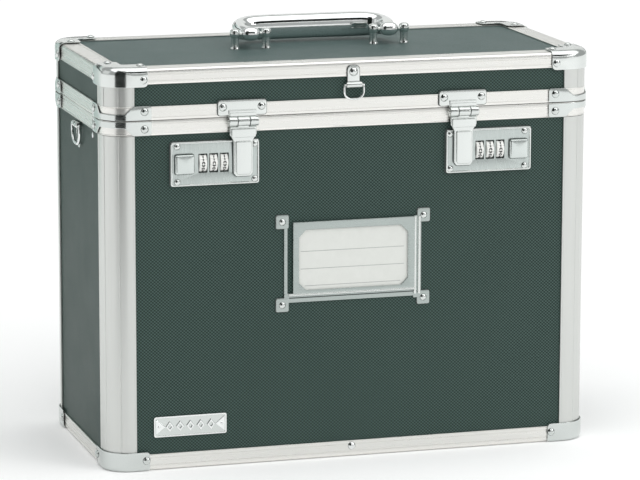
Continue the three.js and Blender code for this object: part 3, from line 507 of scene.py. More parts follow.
def corner_point(s, offset):
    """Plan place of a point s along the outline from the middle of the front-right corner."""
    centre = Vector((HALF_W - CORNER_R, CORNER_R - HALF_D))
    if abs(s) <= HALF_ARC:
        a = s / CORNER_R - math.pi / 4
        return centre + Vector((math.cos(a), math.sin(a))) * (CORNER_R + offset)
    if s < 0:
        return Vector((centre.x + s + HALF_ARC, -HALF_D - offset))
    return Vector((HALF_W + offset, centre.y + s - HALF_ARC))


def dome(t):
    """1 in the middle of a leg and 0 at its ends, t running from -1 to 1."""
    return max(0.0, 1 - t * t) ** 0.8


def wrapped(bm, side_x, side_y, flip=False, r=EDGE_R, plump=0.0):
    """Bends a flat fitting, drawn as (along the outline, height), round one corner of the case."""
    cuts = [HALF_ARC * k / 7 for k in range(-7, 8)]
    heights = [HEIGHT - r + r * QUARTER * k / 5 for k in range(6)]
    if plump:
        cuts += [side * (HALF_ARC + PLUMP_STEP * k) for side in (-1, 1) for k in range(1, 11)]
        heights += [HEIGHT - r - PLUMP_STEP * k for k in range(1, 8)]
    planes = [((s, 0, 0), (1, 0, 0)) for s in cuts] + [((0, h, 0), (0, 1, 0)) for h in heights]
    for place, normal in planes:
        geometry = list(bm.verts) + list(bm.edges) + list(bm.faces)
        bmesh.ops.bisect_plane(bm, geom=geometry, plane_co=place, plane_no=normal)
    for v in bm.verts:
        up = (v.co.y - HEIGHT + PLUMP_MIDDLE) / PLUMP_HALF_H
        across = (abs(v.co.x) - HALF_ARC - PLUMP_MIDDLE) / PLUMP_HALF_W
        offset, z = section_at(v.co.y, v.co.z + FITTING_OUT + plump * dome(up) * dome(across), HEIGHT, r)
        p = corner_point(v.co.x, offset)
        v.co = (p.x * side_x, -p.y * side_y, HEIGHT - z if flip else z)
    return bm


def from_edge(e):
    """Distance along the outline, from the corner's middle, of a place on a face e from the case's corner."""
    return e - CORNER_R + HALF_ARC


# ------------ rails and corner profiles
def groove(offset, z, half=0.28):
    deep = offset - GROOVE_DEEP
    return [(offset, z - half), (deep, z - half * 0.5), (deep, z + half * 0.5), (offset, z + half)]


def bead_up(z):
    """The bead at a leaf's lower edge, drawn upwards."""
    return [(-SKIN, z), (0.05, z), (BEAD, z + 0.25), (BEAD, z + 0.8), (0, z + 1.15)]


def base_rim():
    z0, z1 = BASE_RIM_LOW, BASE_TOP
    tongue = [(-8, z1), (-8, z1 + 2.7), (-8.3, z1 + 3), (-9.2, z1 + 3), (-9.5, z1 + 2.7),
              (-9.5, z1 - RIM_WEB)]
    section = bead_up(z0) + groove(0, z1 - 2.6) + [(0, z1 - 0.3), (-0.1, z1 - 0.1), (-0.3, z1), *tongue]
    section += [(-INNER_BACK, z1 - RIM_WEB), (-INNER_BACK, z0), (-INNER, z0), (-INNER, z1 - RIM_WEB),
                (-SKIN, z1 - RIM_WEB)]
    finish_mesh("base_rim_rail", rail(section), M["rail"], "base", ["base_rim_frame"])


def lid_rim():
    z0, z1 = LID_RIM_LOW, LID_RIM_TOP
    upper = [(x, z0 + z1 - z) for x, z in bead_up(z0) + groove(0, z1 - 2.4)]
    section = upper + [
        (0, z0 + 0.3), (-0.1, z0 + 0.1), (-0.3, z0), (-INNER_BACK, z0), (-INNER_BACK, z1), (-INNER, z1),
        (-INNER, z0 + RIM_WEB), (-SKIN, z0 + RIM_WEB),
    ]
    finish_mesh("lid_rim_rail", rail(section), M["rail"], "lid", ["lid_rim_frame"])


def edge_arc():
    """The rounded outer edge of a top rail, as (offset, distance below the top)."""
    turn = [math.radians(15 * k) for k in range(7)]
    return [(EDGE_R * math.cos(a) - EDGE_R, EDGE_R - EDGE_R * math.sin(a)) for a in turn]


def edge_rail(leaf):
    """Section of the top rail drawn with its top at 0 and its leaf reaching down by leaf."""
    across = [(z, x) for x, z in groove(0, -FLANGE + 3.4)]
    section = bead_up(-leaf) + groove(0, -leaf + 3.2) + groove(0, -5.0)
    section += [(x, -z) for x, z in edge_arc()]
    section += across[::-1]
    section += [
        (-FLANGE + 0.5, 0), (-FLANGE, -0.3), (-FLANGE, -SKIN), (-4, -SKIN), (-2.2, -1.6), (-SKIN, -3.2),
    ]
    return section


def top_and_bottom_rails():
    top = [(x, HEIGHT + z) for x, z in edge_rail(HEIGHT - TOP_RAIL_LOW)]
    finish_mesh("lid_top_rail", rail(top), M["rail"], "lid", ["lid_top_frame"])
    bottom = [(x, -z) for x, z in edge_rail(BOTTOM_RAIL_TOP)]
    finish_mesh("bottom_rail", rail(bottom), M["rail"], "base", ["bottom_frame"])


def post_section(deep=True):
    """Section of a corner profile with its outer corner at (0, 0), as in the model but drawn finer."""
    at_grooves = [g + d for g in POST_GROOVES for d in (-1.5, -0.7, 0.7, 1.5)]
    angles = sorted([3 * k for k in range(31)] + at_grooves)
    angles = [a for a in angles if not any(0.8 < abs(a - g) < 1.4 for g in POST_GROOVES)]

    def on_arc(r, degrees):
        a = math.radians(degrees)
        return CORNER_R - r * math.sin(a), CORNER_R - r * math.cos(a)

    def drawn_in(a):
        return GROOVE_DEEP if any(abs(a - g) < 1.2 for g in POST_GROOVES) else 0

    outer = [on_arc(CORNER_R - drawn_in(a), a) for a in angles]
    lip = [(POST_FLANGE - 1.9, 0), (POST_FLANGE - 1.5, -BEAD * 0.9), (POST_FLANGE - 0.4, -BEAD),
           (POST_FLANGE, -0.1), (POST_FLANGE, SKIN)]
    if deep:
        lip += [(CORNER_R, SKIN), (CORNER_R, POST_BACK), (CORNER_R - 1.5, POST_BACK)]
    inner = [on_arc(CORNER_R - (2 if deep else SKIN), a) for a in range(86, 3, -4)]
    return outer + [(y, x) for x, y in lip] + inner + lip[::-1]


def posts():
    spans = [("corner_profile", "base", BOTTOM_RAIL_TOP + 0.3, BASE_RIM_LOW - 0.3, True),
             ("lid_corner_profile", "lid", LID_RIM_TOP - 0.2, TOP_RAIL_LOW + 0.2, False)]
    for label, body, z0, z1, deep in spans:
        section = post_section(deep)
        for sx, sy, place in CORNERS:
            rings = [[(sx * (HALF_W - x), sy * (HALF_D - y), z) for x, y in section] for z in (z0, z1)]
            replaced = [f"corner_post_{place}"] if body == "base" else []
            bm = sweep(section, rings, False)
            finish_mesh(f"{label}_{place}", bm, M["post"], body, replaced, 25)


# ------------ corner fittings
# EDGE and RIVET are distances from the case's corner along a face
CAP_EDGE, CAP_LOW = 37.5, 334.5
CAP_RIVET, CAP_RIVET_IN, CAP_RIVET_Z = 33.4, 10.5, 340.7
RIM_TAB_EDGES, RIM_RIVET = (40.3, 24.5, 17.2), 34.2
# heights of each rim fitting: edge at the parting line, edge of the tab, edge of the band, rivet
RIM_TABS = {"lid": (306.3, 318.4, 311.6, 313.6), "base": (305.1, 293.0, 299.8, 298.6)}
BRACKET_EDGE, BRACKET_H, BRACKET_RIVET, BOTTOM_RIVET_Z = 37, 17, 33.8, 9.6
HINGE_PITCH = 76


def corner_rivets(side_x, side_y, edge, z, proud):
    """Rivets on the two legs of a fitting."""
    out = FITTING_OUT + proud
    x, y = side_x * (HALF_W - edge), side_y * (HALF_D - edge)
    return [rivet((x, side_y * (HALF_D + out), z), (0, side_y, 0)),
            rivet((side_x * (HALF_W + out), y, z), (side_x, 0, 0))]


def top_caps():
    """Three-way pressed caps: two legs down the faces' top rail and a flange over the top."""
    leg = from_edge(CAP_EDGE)
    r = EDGE_R + 1.0
    over = HEIGHT - r + r * QUARTER + (FLANGE - r)
    half = [(leg, CAP_LOW, 4.5), (leg, over, 3.0), (from_edge(FLANGE + 6), over, 3.0)]
    outline = rounded(symmetric(half), 3)
    out = HEIGHT + FITTING_OUT + FITTING_T
    for sx, sy, place in CORNERS:
        bm = wrapped(plate([outline], FITTING_T, 0.3), sx, sy, r=r, plump=PLUMP)
        onto_top = [(sx * (HALF_W - x), sy * (HALF_D - y))
                    for x, y in ((CAP_RIVET, CAP_RIVET_IN), (CAP_RIVET_IN, CAP_RIVET))]
        heads = [rivet((x, y, out), (0, 0, 1)) for x, y in onto_top]
        heads += corner_rivets(sx, sy, CAP_RIVET, CAP_RIVET_Z, FITTING_T + PLUMP * 0.5)
        finish_mesh(f"pressed_cap_{place}", merged([bm, *heads]), M["pressed"], "lid",
                    [f"top_cap_{place}"])


def rim_fitting_outline(inner, outer, band):
    """A thin fitting at the parting line: a narrow band round the corner with a tab on each face."""
    leg, wide, narrow = (from_edge(e) for e in RIM_TAB_EDGES)
    half = [(leg, inner, 0.8), (leg, outer, 2.6), (wide, outer, 1.5), (narrow, band, 3.0)]
    return rounded(symmetric(half), 2)


def rim_fittings():
    for sx, sy, place in CORNERS:
        for body, (inner, outer, band, rivet_z) in RIM_TABS.items():
            bm = wrapped(plate([rim_fitting_outline(inner, outer, band)], FITTING_T, 0.25), sx, sy)
            heads = corner_rivets(sx, sy, RIM_RIVET, rivet_z, FITTING_T)
            finish_mesh(f"rim_fitting_{body}_{place}", merged([bm, *heads]), M["tab"], body)


def bottom_brackets():
    """Bands round the bottom corners that roll under the rail."""
    leg = from_edge(BRACKET_EDGE)
    r = EDGE_R + 0.8
    under = HEIGHT - r + r * 0.72
    outline = rounded(symmetric([(leg, HEIGHT - BRACKET_H, 3.5), (leg, under, 0.6)]), 2)
    for sx, sy, place in CORNERS:
        bm = wrapped(plate([outline], FITTING_T, 0.3), sx, sy, flip=True, r=r)
        heads = corner_rivets(sx, sy, BRACKET_RIVET, BOTTOM_RIVET_Z, FITTING_T)
        finish_mesh(f"bottom_corner_{place}", merged([bm, *heads]), M["tab"], "base",
                    [f"bottom_bracket_{place}"])


def loose_rivets():
    """Rivets that hold rails and inner parts and sit on no fitting of their own."""
    heads = [rivet((0, sy * HALF_D, BOTTOM_RIVET_Z), (0, sy, 0)) for sy in (-1, 1)]
    heads += [rivet((x, HALF_D, BOTTOM_RIVET_Z), (0, 1, 0)) for x in (-110, 110)]
    stay_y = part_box("stay_lower")[0].y / MM + 4.5
    heads.append(rivet((-HALF_W + 1.3, stay_y, 287), (-1, 0, 0), 4.2, 0.7))
    finish_mesh("base_rivets", merged(heads), M["chrome"], "base")
    for body, start, z in (("base", -133, 298.4), ("lid", -171, 313.2)):
        row = [rivet((start + HINGE_PITCH * k, HALF_D + 2.2, z), (0, 1, 0), 2.2, 1.2) for k in range(5)]
        finish_mesh(f"hinge_rivets_{body}", merged(row), M["chrome"], body)


# ------------ rounded solids for the hardware
def turned(radius, low, high, place, direction, soft=0.5, steps=28):
    """A round pin or knuckle with softened ends, between low and high along direction."""
    arc = [math.radians(a) for a in (0, 30, 60, 90)]
    start = [(radius - soft + soft * math.sin(a), low + soft - soft * math.cos(a)) for a in arc]
    end = [(r, low + high - z) for r, z in reversed(start)]
    return along(lathe([(0, low), *start, *end, (0, high)], steps), place, direction)


def pillow(width, height, thick, corner, edge, crown, steps=6):
    """A pressed button shape: straight sides, a rolled edge and a slightly crowned face."""
    rings = [(0.0, 0.0), (0.0, thick - crown - edge)]
    turn = [QUARTER * k / steps for k in range(1, steps + 1)]
    rings += [(edge * (1 - math.cos(a)), thick - crown - edge + edge * math.sin(a)) for a in turn]
    low, reach = thick - crown, min(width, height) / 2 - edge
    rings += [(edge + reach * t, low + crown * (1 - (1 - t) ** 2)) for t in (0.25, 0.5, 0.75, 0.93)]
    bm = bmesh.new()
    rows = []
    for inset, z in rings:
        w, h = width / 2 - inset, height / 2 - inset
        if inset > edge:
            r = min(max(corner - inset * 0.6, min(w, h) * 0.5), min(w, h) * 0.95)
        else:
            r = max(corner - inset, 0.3)
        outline = rectangle(-w, w, -h, h, r)
        rows.append([bm.verts.new((p.x, p.y, z)) for p in outline])
    count = len(rows[0])
    for a, b in zip(rows, rows[1:]):
        for k in range(count):
            j = (k + 1) % count
            bm.faces.new((a[k], a[j], b[j], b[k]))
    bm.faces.new(rows[0][::-1])
    top = bm.verts.new((0, 0, thick))
    for k in range(count):
        bm.faces.new((rows[-1][k], rows[-1][(k + 1) % count], top))
    return bm


# ------------ locks and hasps
LOCK_X, LOCK_Z, LOCK_W, LOCK_H = 123.45, 267.05, 78.3, 38.3
LOCK_BACK, LOCK_T = -102.0, 2.6
LOCK_FACE = LOCK_BACK - LOCK_T
LOCK_RIM, LOCK_RIM_W, LOCK_CORNER = 0.75, 1.9, 2.6
LOCK_RIVETS = [(x, LOCK_Z + dz) for x in (88.2, 156.6) for dz in (-15.2, 15.2)]
WHEEL_X = (115.2, 124.6, 134.0)
WHEEL_R, WHEEL_W, WHEEL_Y, WHEEL_Z = 8.5, 6.5, -98.6, 267.2
NUMERAL_SIZE, NUMERAL_T, WHEEL_SETTLE = 6.2, 0.06, math.radians(6)
WINDOW_W, WINDOW_H = 7.9, 16.6
SLIDER_X, SLIDER_SIZE, SLIDER_BACK = 150.6, 17.0, -104.9
HASP_X, HASP_PIN, KNUCKLE_R = 99.2, (0, -107.6, 302.5), 4.3
HASP_PLATE = (-21.5, 21.5, 307.3, 320.3)
TONGUE_BACK, TONGUE_LOW = -105.9, 254.8
FRONT_FITTING = -103.7


def lock_plate(side):
    name = SIDE_NAMES[side]
    x0, x1 = LOCK_X - LOCK_W / 2, LOCK_X + LOCK_W / 2
    z0, z1 = LOCK_Z - LOCK_H / 2, LOCK_Z + LOCK_H / 2
    w, h = WINDOW_W / 2, WINDOW_H / 2
    windows = [rectangle(x - w, x + w, WHEEL_Z - h, WHEEL_Z + h, 0.6, 3) for x in WHEEL_X]
    slot = rectangle(SLIDER_X - 6.8, SLIDER_X + 3.3, LOCK_Z - 3.3, LOCK_Z + 3.3, 0.5, 2)
    inset = LOCK_RIM_W / 2
    field = rectangle(x0 + inset, x1 - inset, z0 + inset, z1 - inset, 1.8)
    face = facing_front(plate([field, *windows, slot], LOCK_T, 0.15), LOCK_BACK)
    finish_mesh(f"lock_face_{name}", mirrored(face, side), M["nickel"], "base",
                [f"lock_plate_{name}"])
    outer = rectangle(x0, x1, z0, z1, LOCK_CORNER)
    inner = rectangle(x0 + LOCK_RIM_W, x1 - LOCK_RIM_W, z0 + LOCK_RIM_W, z1 - LOCK_RIM_W, 1.2)
    parts = [facing_front(plate([outer, inner], LOCK_T + LOCK_RIM, 0.8, 5), LOCK_BACK)]
    # a dark sheet of painted shade under the trim draws its shadow line
    parts.append(seal_under(x0, x1, z0, z1, LOCK_CORNER, LOCK_BACK))
    parts += [rivet((x, LOCK_FACE, z), (0, -1, 0), 2.6, 1.9) for x, z in LOCK_RIVETS]
    finish_mesh(f"lock_trim_{name}", mirrored(merged(parts), side), M["pressed"], "base")


def lock_slider(side):
    name = SIDE_NAMES[side]
    half = SLIDER_SIZE / 2
    button = facing_front(pillow(SLIDER_SIZE, SLIDER_SIZE, 3.9, 2.2, 1.9, 0.35), SLIDER_BACK)
    # a dark sheet of painted shade under the button draws its shadow line
    under = seal_under(-half, half, -half, half, 2.2, SLIDER_BACK)
    stem = facing_front(pillow(6, 6, 8, 0.5, 0.3, 0.1, 2), 0)
    stem.transform(Matrix.Rotation(math.pi, 4, "Z"))
    whole = merged([shifted(button, SLIDER_X, 0, LOCK_Z), shifted(under, SLIDER_X, 0, LOCK_Z),
                    shifted(stem, SLIDER_X, SLIDER_BACK - 0.5, LOCK_Z)])
    finish_mesh(f"lock_button_{name}", mirrored(whole, side), M["button"], f"slider_{name}",
                [f"lock_slider_{name}"])


def digit_mesh(text, size):
    """A flat raised numeral centred on the origin in the XY plane."""
    curve = bpy.data.curves.new("numeral", "FONT")
    curve.body = text
    curve.size = size
    curve.align_x = "CENTER"
    curve.align_y = "CENTER"
    curve.extrude = NUMERAL_T
    curve.resolution_u = 4
    curve.offset = 0.16
    return curve_mesh(curve)


def wheel_section(flat):
    """Ten flats round a wheel with a finger notch between each two, as (forward, up)."""
    notch = ((-13, WHEEL_R), (0, flat + 0.05), (13, WHEEL_R), (15.5, WHEEL_R - 0.5), (18, WHEEL_R - 0.75),
             (20.5, WHEEL_R - 0.5))
    section = []
    for k in range(10):
        for degrees, r in notch:
            a = math.radians(36 * k + degrees) + WHEEL_SETTLE
            section.append((r * math.cos(a), r * math.sin(a)))
    return section


def number_wheels(side):
    """Three wheels with a numeral on each flat; 0 faces forward."""
    flat = WHEEL_R * math.cos(math.radians(13))
    section = wheel_section(flat)
    w = WHEEL_W / 2
    edges = ((-w, 0.93), (-w + 0.35, 0.985), (-w + 0.7, 1), (w - 0.7, 1), (w - 0.35, 0.985), (w, 0.93))
    rings = [[(x, -y * grow, z * grow) for y, z in section] for x, grow in edges]
    onto_flat = Matrix.Translation((0, -flat - NUMERAL_T, 0)) @ Matrix.Rotation(QUARTER, 4, "X")
    for index, wheel_x in enumerate(WHEEL_X, 1):
        name = f"wheel_{SIDE_NAMES[side]}_{index}"
        place = (wheel_x * side, WHEEL_Y, WHEEL_Z)
        body = shifted(sweep(section, rings, False), *place)
        finish_mesh(f"{name}_body", body, M["wheel"], name, [f"number_{name}"], 20)
        digits = [digit_mesh(str(k), NUMERAL_SIZE) for k in range(10)]
        for k, numeral in enumerate(digits):
            tilt = Matrix.Rotation(WHEEL_SETTLE - math.radians(36 * k), 4, "X")
            numeral.transform(Matrix.Translation(place) @ tilt @ onto_flat)
        finish_mesh(f"{name}_numerals", merged(digits), M["ink"], name)


def hasp_bracket(side):
    name = SIDE_NAMES[side]
    parts = [
        front_plate(rectangle(*HASP_PLATE, 2.6), FRONT_FITTING, 1.25, 0.4, 3),
        front_plate(rectangle(-12.4, 12.4, 304.4, 312.0, 0.9), FRONT_FITTING, 2.6, 0.7, 3),
        front_plate(rectangle(-11.4, 11.4, 304.4, 309.9, 0.7), FRONT_FITTING - 2.4, 0.7, 0.3, 3),
        # a dark sheet of painted shade under the plate draws its shadow line
        seal_under(*HASP_PLATE, 2.6, FRONT_FITTING),
    ]
    for ear in (-1, 1):
        low, high = sorted((ear * 5.7, ear * 13.0))
        parts.append(turned(KNUCKLE_R, low, high, HASP_PIN, (1, 0, 0)))
        parts.append(turned(1.7, *sorted((ear * 12.6, ear * 13.5)), HASP_PIN, (1, 0, 0), 0.3, 16))
        parts.append(rivet((ear * 17, FRONT_FITTING - 1.2, 314.6), (0, -1, 0)))
    finish_mesh(f"hasp_plate_{name}", mirrored(shifted(merged(parts), HASP_X), side), M["pressed"], "lid",
                [f"hasp_bracket_{name}"])


def hasp_tongue(side):
    name = SIDE_NAMES[side]
    blade = symmetric([(6.2, TONGUE_LOW, 1.2), (8.6, 257.8, 1.2), (8.6, 286.0, 3.0), (12, 291.0, 1.6),
                       (12, 298.2, 1.2)])
    # under: outline of a dark sheet of painted shadow beneath the blade, showing past its lower part
    under = symmetric([(6.2, TONGUE_LOW - SHADE_MARGIN, 1.2), (9.0, 257.8, 1.2), (9.0, 286.0, 3.0)])
    ridge = symmetric([(5.2, 256.6, 0.9), (6.8, 258.8, 0.9), (7.0, 285.4, 1.4)])
    raised = TONGUE_BACK - 1.9
    parts = [
        front_plate(rounded(blade, 1), TONGUE_BACK, 2.2, 0.9, 4),
        sealed(front_plate(rounded(under, 1), TONGUE_BACK, SHADE_T, 0.1)),
        front_plate(rounded(ridge, 1), raised, 1.8, 0.85, 4),
        front_plate(rectangle(-10.9, 10.9, 288.6, 296.4, 1.4), raised, 1.7, 0.8, 4),
        front_plate(rectangle(-4.9, 4.9, 297.0, 300.8, 0.4), TONGUE_BACK, 2.5, 0.4),
        turned(KNUCKLE_R, -5.2, 5.2, HASP_PIN, (1, 0, 0)),
    ]
    finish_mesh(f"hasp_tongue_{name}", mirrored(shifted(merged(parts), HASP_X), side), M["pressed"],
                f"hasp_{name}", [f"hasp_{name}"])


# ------------ handle
# half of the grip's centre line as (x, y), with the half width and half height of its section
BOW_STATIONS = [
    (63.75, 3, 5.4, 5.4), (66.5, 11, 5.6, 6.4), (67.6, 21, 6.4, 7.6), (64.2, 31.5, 7.4, 9.2),
    (54.5, 38.2, 8.4, 10.6), (36, 40.2, 8.8, 11), (0, 40.6, 8.8, 11),
]
BOW_FLATNESS = 0.82
BARREL = [(0, -8.1), (2.6, -8.1), (3.0, -7.75), (4.6, -6.4), (5.6, -4.4), (6.05, -2.0), (6.15, 0)]
HANDLE_Z = 362
HANDLE_SHIFT = 1.0
POST_XS = (49.5, 78)


def smooth_through(points, steps):
    """Points on a Catmull-Rom line through tuples of numbers."""
    made = []
    for i in range(len(points) - 1):
        p = [Vector(points[max(0, min(len(points) - 1, i + k))]) for k in (-1, 0, 1, 2)]
        for s in range(steps):
            t = s / steps
            made.append(0.5 * (2 * p[1] + (p[2] - p[0]) * t + (2 * p[0] - 5 * p[1] + 4 * p[2] - p[3]) * t * t
                               + (3 * p[1] - p[0] - 3 * p[2] + p[3]) * t ** 3))
    made.append(Vector(points[-1]))
    return made


def handle_bow():
    half = BOW_STATIONS[:-1]
    line = smooth_through(half + BOW_STATIONS[-1:] + [(-x, y, w, h) for x, y, w, h in reversed(half)], 7)
    sides = 36
    rings = []
    for i, (x, y, w, h) in enumerate(line):
        ahead, behind = line[min(i + 1, len(line) - 1)], line[max(i - 1, 0)]
        across = Vector((behind.y - ahead.y, ahead.x - behind.x, 0)).normalized()
        ring = []
        for k in range(sides):
            a = 2 * math.pi * k / sides
            c, up = (math.copysign(abs(part) ** BOW_FLATNESS, part) for part in (math.cos(a), math.sin(a)))
            ring.append(Vector((x, y, HANDLE_Z + h * up)) + across * (w * c))
        rings.append(ring)
    parts = [sweep(range(sides), rings, False)]
    barrel = BARREL + [(r, -z) for r, z in reversed(BARREL[:-1])]
    for side in (-1, 1):
        parts.append(along(lathe(barrel, 32), (side * BOW_STATIONS[0][0], 0, HANDLE_Z), (1, 0, 0)))
    bow = shifted(merged(parts), HANDLE_SHIFT)
    finish_mesh("handle_bow", bow, M["chrome"], "handle", ["handle"], 45)


def handle_mounts():
    low = HEIGHT - 1.3
    foot = [(0, low), (4.0, low), (4.05, low + 0.9), (3.8, low + 1.5), (3.6, low + 1.9), (3.5, low + 2.6)]
    head = [(3.5, 358.6), (3.6, 359.3), (4.0, 359.8), (4.35, 360.5), (4.5, 362.5), (4.4, 364.6),
            (4.05, 365.6), (3.4, 366.3), (2.5, 366.75), (1.2, 366.95), (0, 367.0)]
    for side in (-1, 1):
        name = SIDE_NAMES[side]
        parts = [shifted(lathe(foot + head, 32), side * x) for x in POST_XS]
        parts.append(turned(2.0, *POST_XS, (0, 0, HANDLE_Z), (side, 0, 0), 0.2, 20))
        for x, out in zip(POST_XS, (-1, 1)):
            parts.append(turned(2.5, 2.6, 4.0, (side * x, 0, HANDLE_Z), (side * out, 0, 0), 0.5, 20))
        pair = shifted(merged(parts), HANDLE_SHIFT)
        finish_mesh(f"handle_posts_{name}", pair, M["pressed"], "lid", [f"handle_mount_{name}"], 45)


# ------------ tie rings
RING_Y, RING_Z, RING_WIRE = FRONT_FITTING - 2.6, 329.5, 0.95
RING_CLIP = (-5.4, 5.4, 327.8, 346)
SIDE_RING_Z, SIDE_RING_WIRE = 288.6, 1.3


def loop_points(width, drop, wire):
    """Centre line of a D shaped loop below its bar, as (across, down)."""
    a, depth = width / 2 - wire, drop - wire
    corner = min(a * 0.8, depth * 0.62)
    points = [(-a, 0), (-a, -(depth - corner) * 0.5)]
    for k in range(13):
        t = QUARTER * k / 12
        points.append((-a + corner * (1 - math.cos(t)), -(depth - corner) - corner * math.sin(t)))
    right = [(-x, z) for x, z in reversed(points)]
    bar = [(a * (1 - 2 * k / 6), 0) for k in range(1, 6)]
    return points + right + bar


def lid_tie_ring():
    points = [(x, RING_Y, RING_Z + z) for x, z in loop_points(19.4, 13.4, RING_WIRE)]
    finish_mesh("lid_tie_ring", tube(points, RING_WIRE, 14, True), M["chrome"], "lid_ring",
                ["lid_ring"], 60)
    clip = merged([
        front_plate(rectangle(*RING_CLIP, 4.2), FRONT_FITTING, 1.0, 0.35, 3),
        # a dark sheet of painted shade under the clip draws its shadow line
        seal_under(*RING_CLIP, 4.2, FRONT_FITTING),
        rivet((0, FRONT_FITTING - 1, 340.6), (0, -1, 0), 3.6, 1.9),
        front_plate(rectangle(-6.2, 6.2, 329.6, 332.2, 0.3), FRONT_FITTING, 3.6, 0.3),
        turned(2.4, -7.2, 7.2, (0, RING_Y, RING_Z), (1, 0, 0), 0.8, 20),
    ])
    finish_mesh("lid_ring_loop", clip, M["pressed"], "lid", ["lid_ring_clip"])


def side_tie_ring(side):
    name = SIDE_NAMES[side]
    wall = HALF_W - 1.6
    x = wall + 3.2
    points = [(x, p, SIDE_RING_Z + z) for p, z in loop_points(31, 18, SIDE_RING_WIRE)]
    loop = tube(points, SIDE_RING_WIRE, 14, True)
    finish_mesh(f"side_tie_ring_{name}", mirrored(loop, side), M["chrome"], f"ring_{name}",
                [f"ring_{name}"], 60)
    tail = rounded(symmetric([(8.5, 291.2, 0.8), (8.5, 280.6, 2.5), (2.2, 268.0, 1.6)]), 1)
    fold = merged([
        side_plate(tail, wall, 1.1, 0.35, 3),
        side_plate(rectangle(-8.5, 8.5, SIDE_RING_Z, 291.2, 0.4), wall, 3.9, 0.3),
        turned(2.6, -8.5, -2.4, (x, 0, SIDE_RING_Z), (0, 1, 0), 0.4, 20),
        turned(2.6, 2.4, 8.5, (x, 0, SIDE_RING_Z), (0, 1, 0), 0.4, 20),
        rivet((wall + 1, 0, 274), (1, 0, 0), 2.7, 1.5),
    ])
    finish_mesh(f"side_ring_fold_{name}", mirrored(fold, side), M["pressed"], "base",
                [f"ring_clip_{name}"])


# ------------ label holder and name plate
PANEL_FRONT = -102.0
LABEL_SHIFT = 0.8
SLEEVE_X0, SLEEVE_X1 = -54.7, 55.6
LUG_HALF_W, LUG_HALF_H = 5.75, 6
CARD_FRONT = -102.88


def label_holder():
    w, c = 49.4, 6.5
    low, high = 151.4, 204.7
    window = rounded(symmetric([(w - c, low), (w, low + c), (w, high - c), (w - c, high)]), 0.8, 3)
    sleeve = rectangle(SLEEVE_X0, SLEEVE_X1, 148.4, 211.5, 0.8)
    parts = [facing_front(plate([sleeve, window], 1.3, 0.45, 3), PANEL_FRONT - 1.3)]
    flanges = [(-62.4, -59.3, 139, 212), (54.8, 62.0, 139, 212), (-62.4, 62, 140.8, 149.0)]
    parts += [front_plate(rectangle(*f, 0.8), PANEL_FRONT, 1.0 + 0.1 * k, 0.3) for k, f in enumerate(flanges)]
    parts += [front_plate(rectangle(SLEEVE_X0, SLEEVE_X1, z - 0.8, z + 0.8, 0.3), PANEL_FRONT, 2.4, 0.3)
              for z in (149.2, 210.7)]
    ribs = [tube([(x, PANEL_FRONT - 1.5, z) for z in (142.8, 145, 180, 210, 211.4)], 1.25, 14)
            for x in (56.2, 60.0)]
    ribs.append(tube([(x, PANEL_FRONT - 1.6, 147.6) for x in (-58.4, -56, 0, 54, 56)], 1.3, 14))
    heads = []
    for x in (-64, 64):
        for z in (139.0, 212.1):
            lug = (x - LUG_HALF_W, x + LUG_HALF_W, z - LUG_HALF_H, z + LUG_HALF_H, 1.8)
            parts.append(front_plate(rectangle(*lug), PANEL_FRONT, 1.25, 0.45, 3))
            # a dark sheet of painted shade under each lug draws its shadow line
            parts.append(seal_under(*lug, PANEL_FRONT))
            heads.append(rivet((x, PANEL_FRONT - 1.2, z), (0, -1, 0), 2.8, 1.8))
    # a dark strip of painted shadow under the sleeve's lower rib
    parts.append(sealed(front_plate(rectangle(-58, 58, 144.4, 145.4, 0.3), PANEL_FRONT, 1.35, 0.1)))
    finish_mesh("label_sleeve", shifted(merged(parts), LABEL_SHIFT), M["sleeve"], "base",
                ["label_frame"])
    fittings = shifted(merged(ribs + heads), LABEL_SHIFT)
    finish_mesh("label_fittings", fittings, M["pressed"], "base")


def label_rules():
    """Printed rules on the paper card."""
    lines = [front_plate(rectangle(x0, x1, z - 0.3, z + 0.3, 0.1, 1), CARD_FRONT, 0.06, 0.01, 1)
             for z, x0, x1 in ((185.4, -47.6, 46.2), (170.0, -47.6, 46.2), (155.0, -44.0, 43.0))]
    finish_mesh("label_rules", shifted(merged(lines), LABEL_SHIFT), M["rule"], "base")


def lozenge(x, z, half_w, half_h, radius):
    return rounded([(x - half_w, z), (x, z - half_h), (x + half_w, z), (x, z + half_h)], radius, 3)


def name_badge():
    """Small plate with a raised border and a plain row of embossed lozenges in place of a name."""
    x, z, w, h = -145.8, 38.2, 64.7 / 2, 18.1 / 2
    rim = 1.3
    outer = rectangle(x - w, x + w, z - h, z + h, 2.0)
    inner = rectangle(x - w + rim, x + w - rim, z - h + rim, z + h - rim, 1.2)
    finish_mesh("badge_ground", front_plate(outer, PANEL_FRONT, 0.9, 0.25), M["tab"], "base",
                ["name_plate"])
    relief = [facing_front(plate([outer, inner], 0.9, 0.3, 3), PANEL_FRONT - 0.6)]
    relief += [rivet((x + s * (w - 4.4), PANEL_FRONT - 1.3, z), (0, -1, 0), 1.3, 0.8) for s in (-1, 1)]
    for s in (-1, 1):
        edge = x + s * (w - 1.6)
        wedge = rounded([(edge, z - h + 2), (edge - s * 8.5, z), (edge, z + h - 2)], 0.6, 3)
        relief.append(front_plate(wedge, PANEL_FRONT - 0.7, 0.8, 0.38, 3))
    for k in range(5):
        cx = x - 18.4 + 9.2 * k
        outlines = [lozenge(cx, z, 3.7, 5.0, 0.5), lozenge(cx, z, 1.5, 2.1, 0.2)]
        relief.append(facing_front(plate(outlines, 1.1, 0.5, 4), PANEL_FRONT - 0.8))
    finish_mesh("badge_relief", merged(relief), M["chrome"], "base")


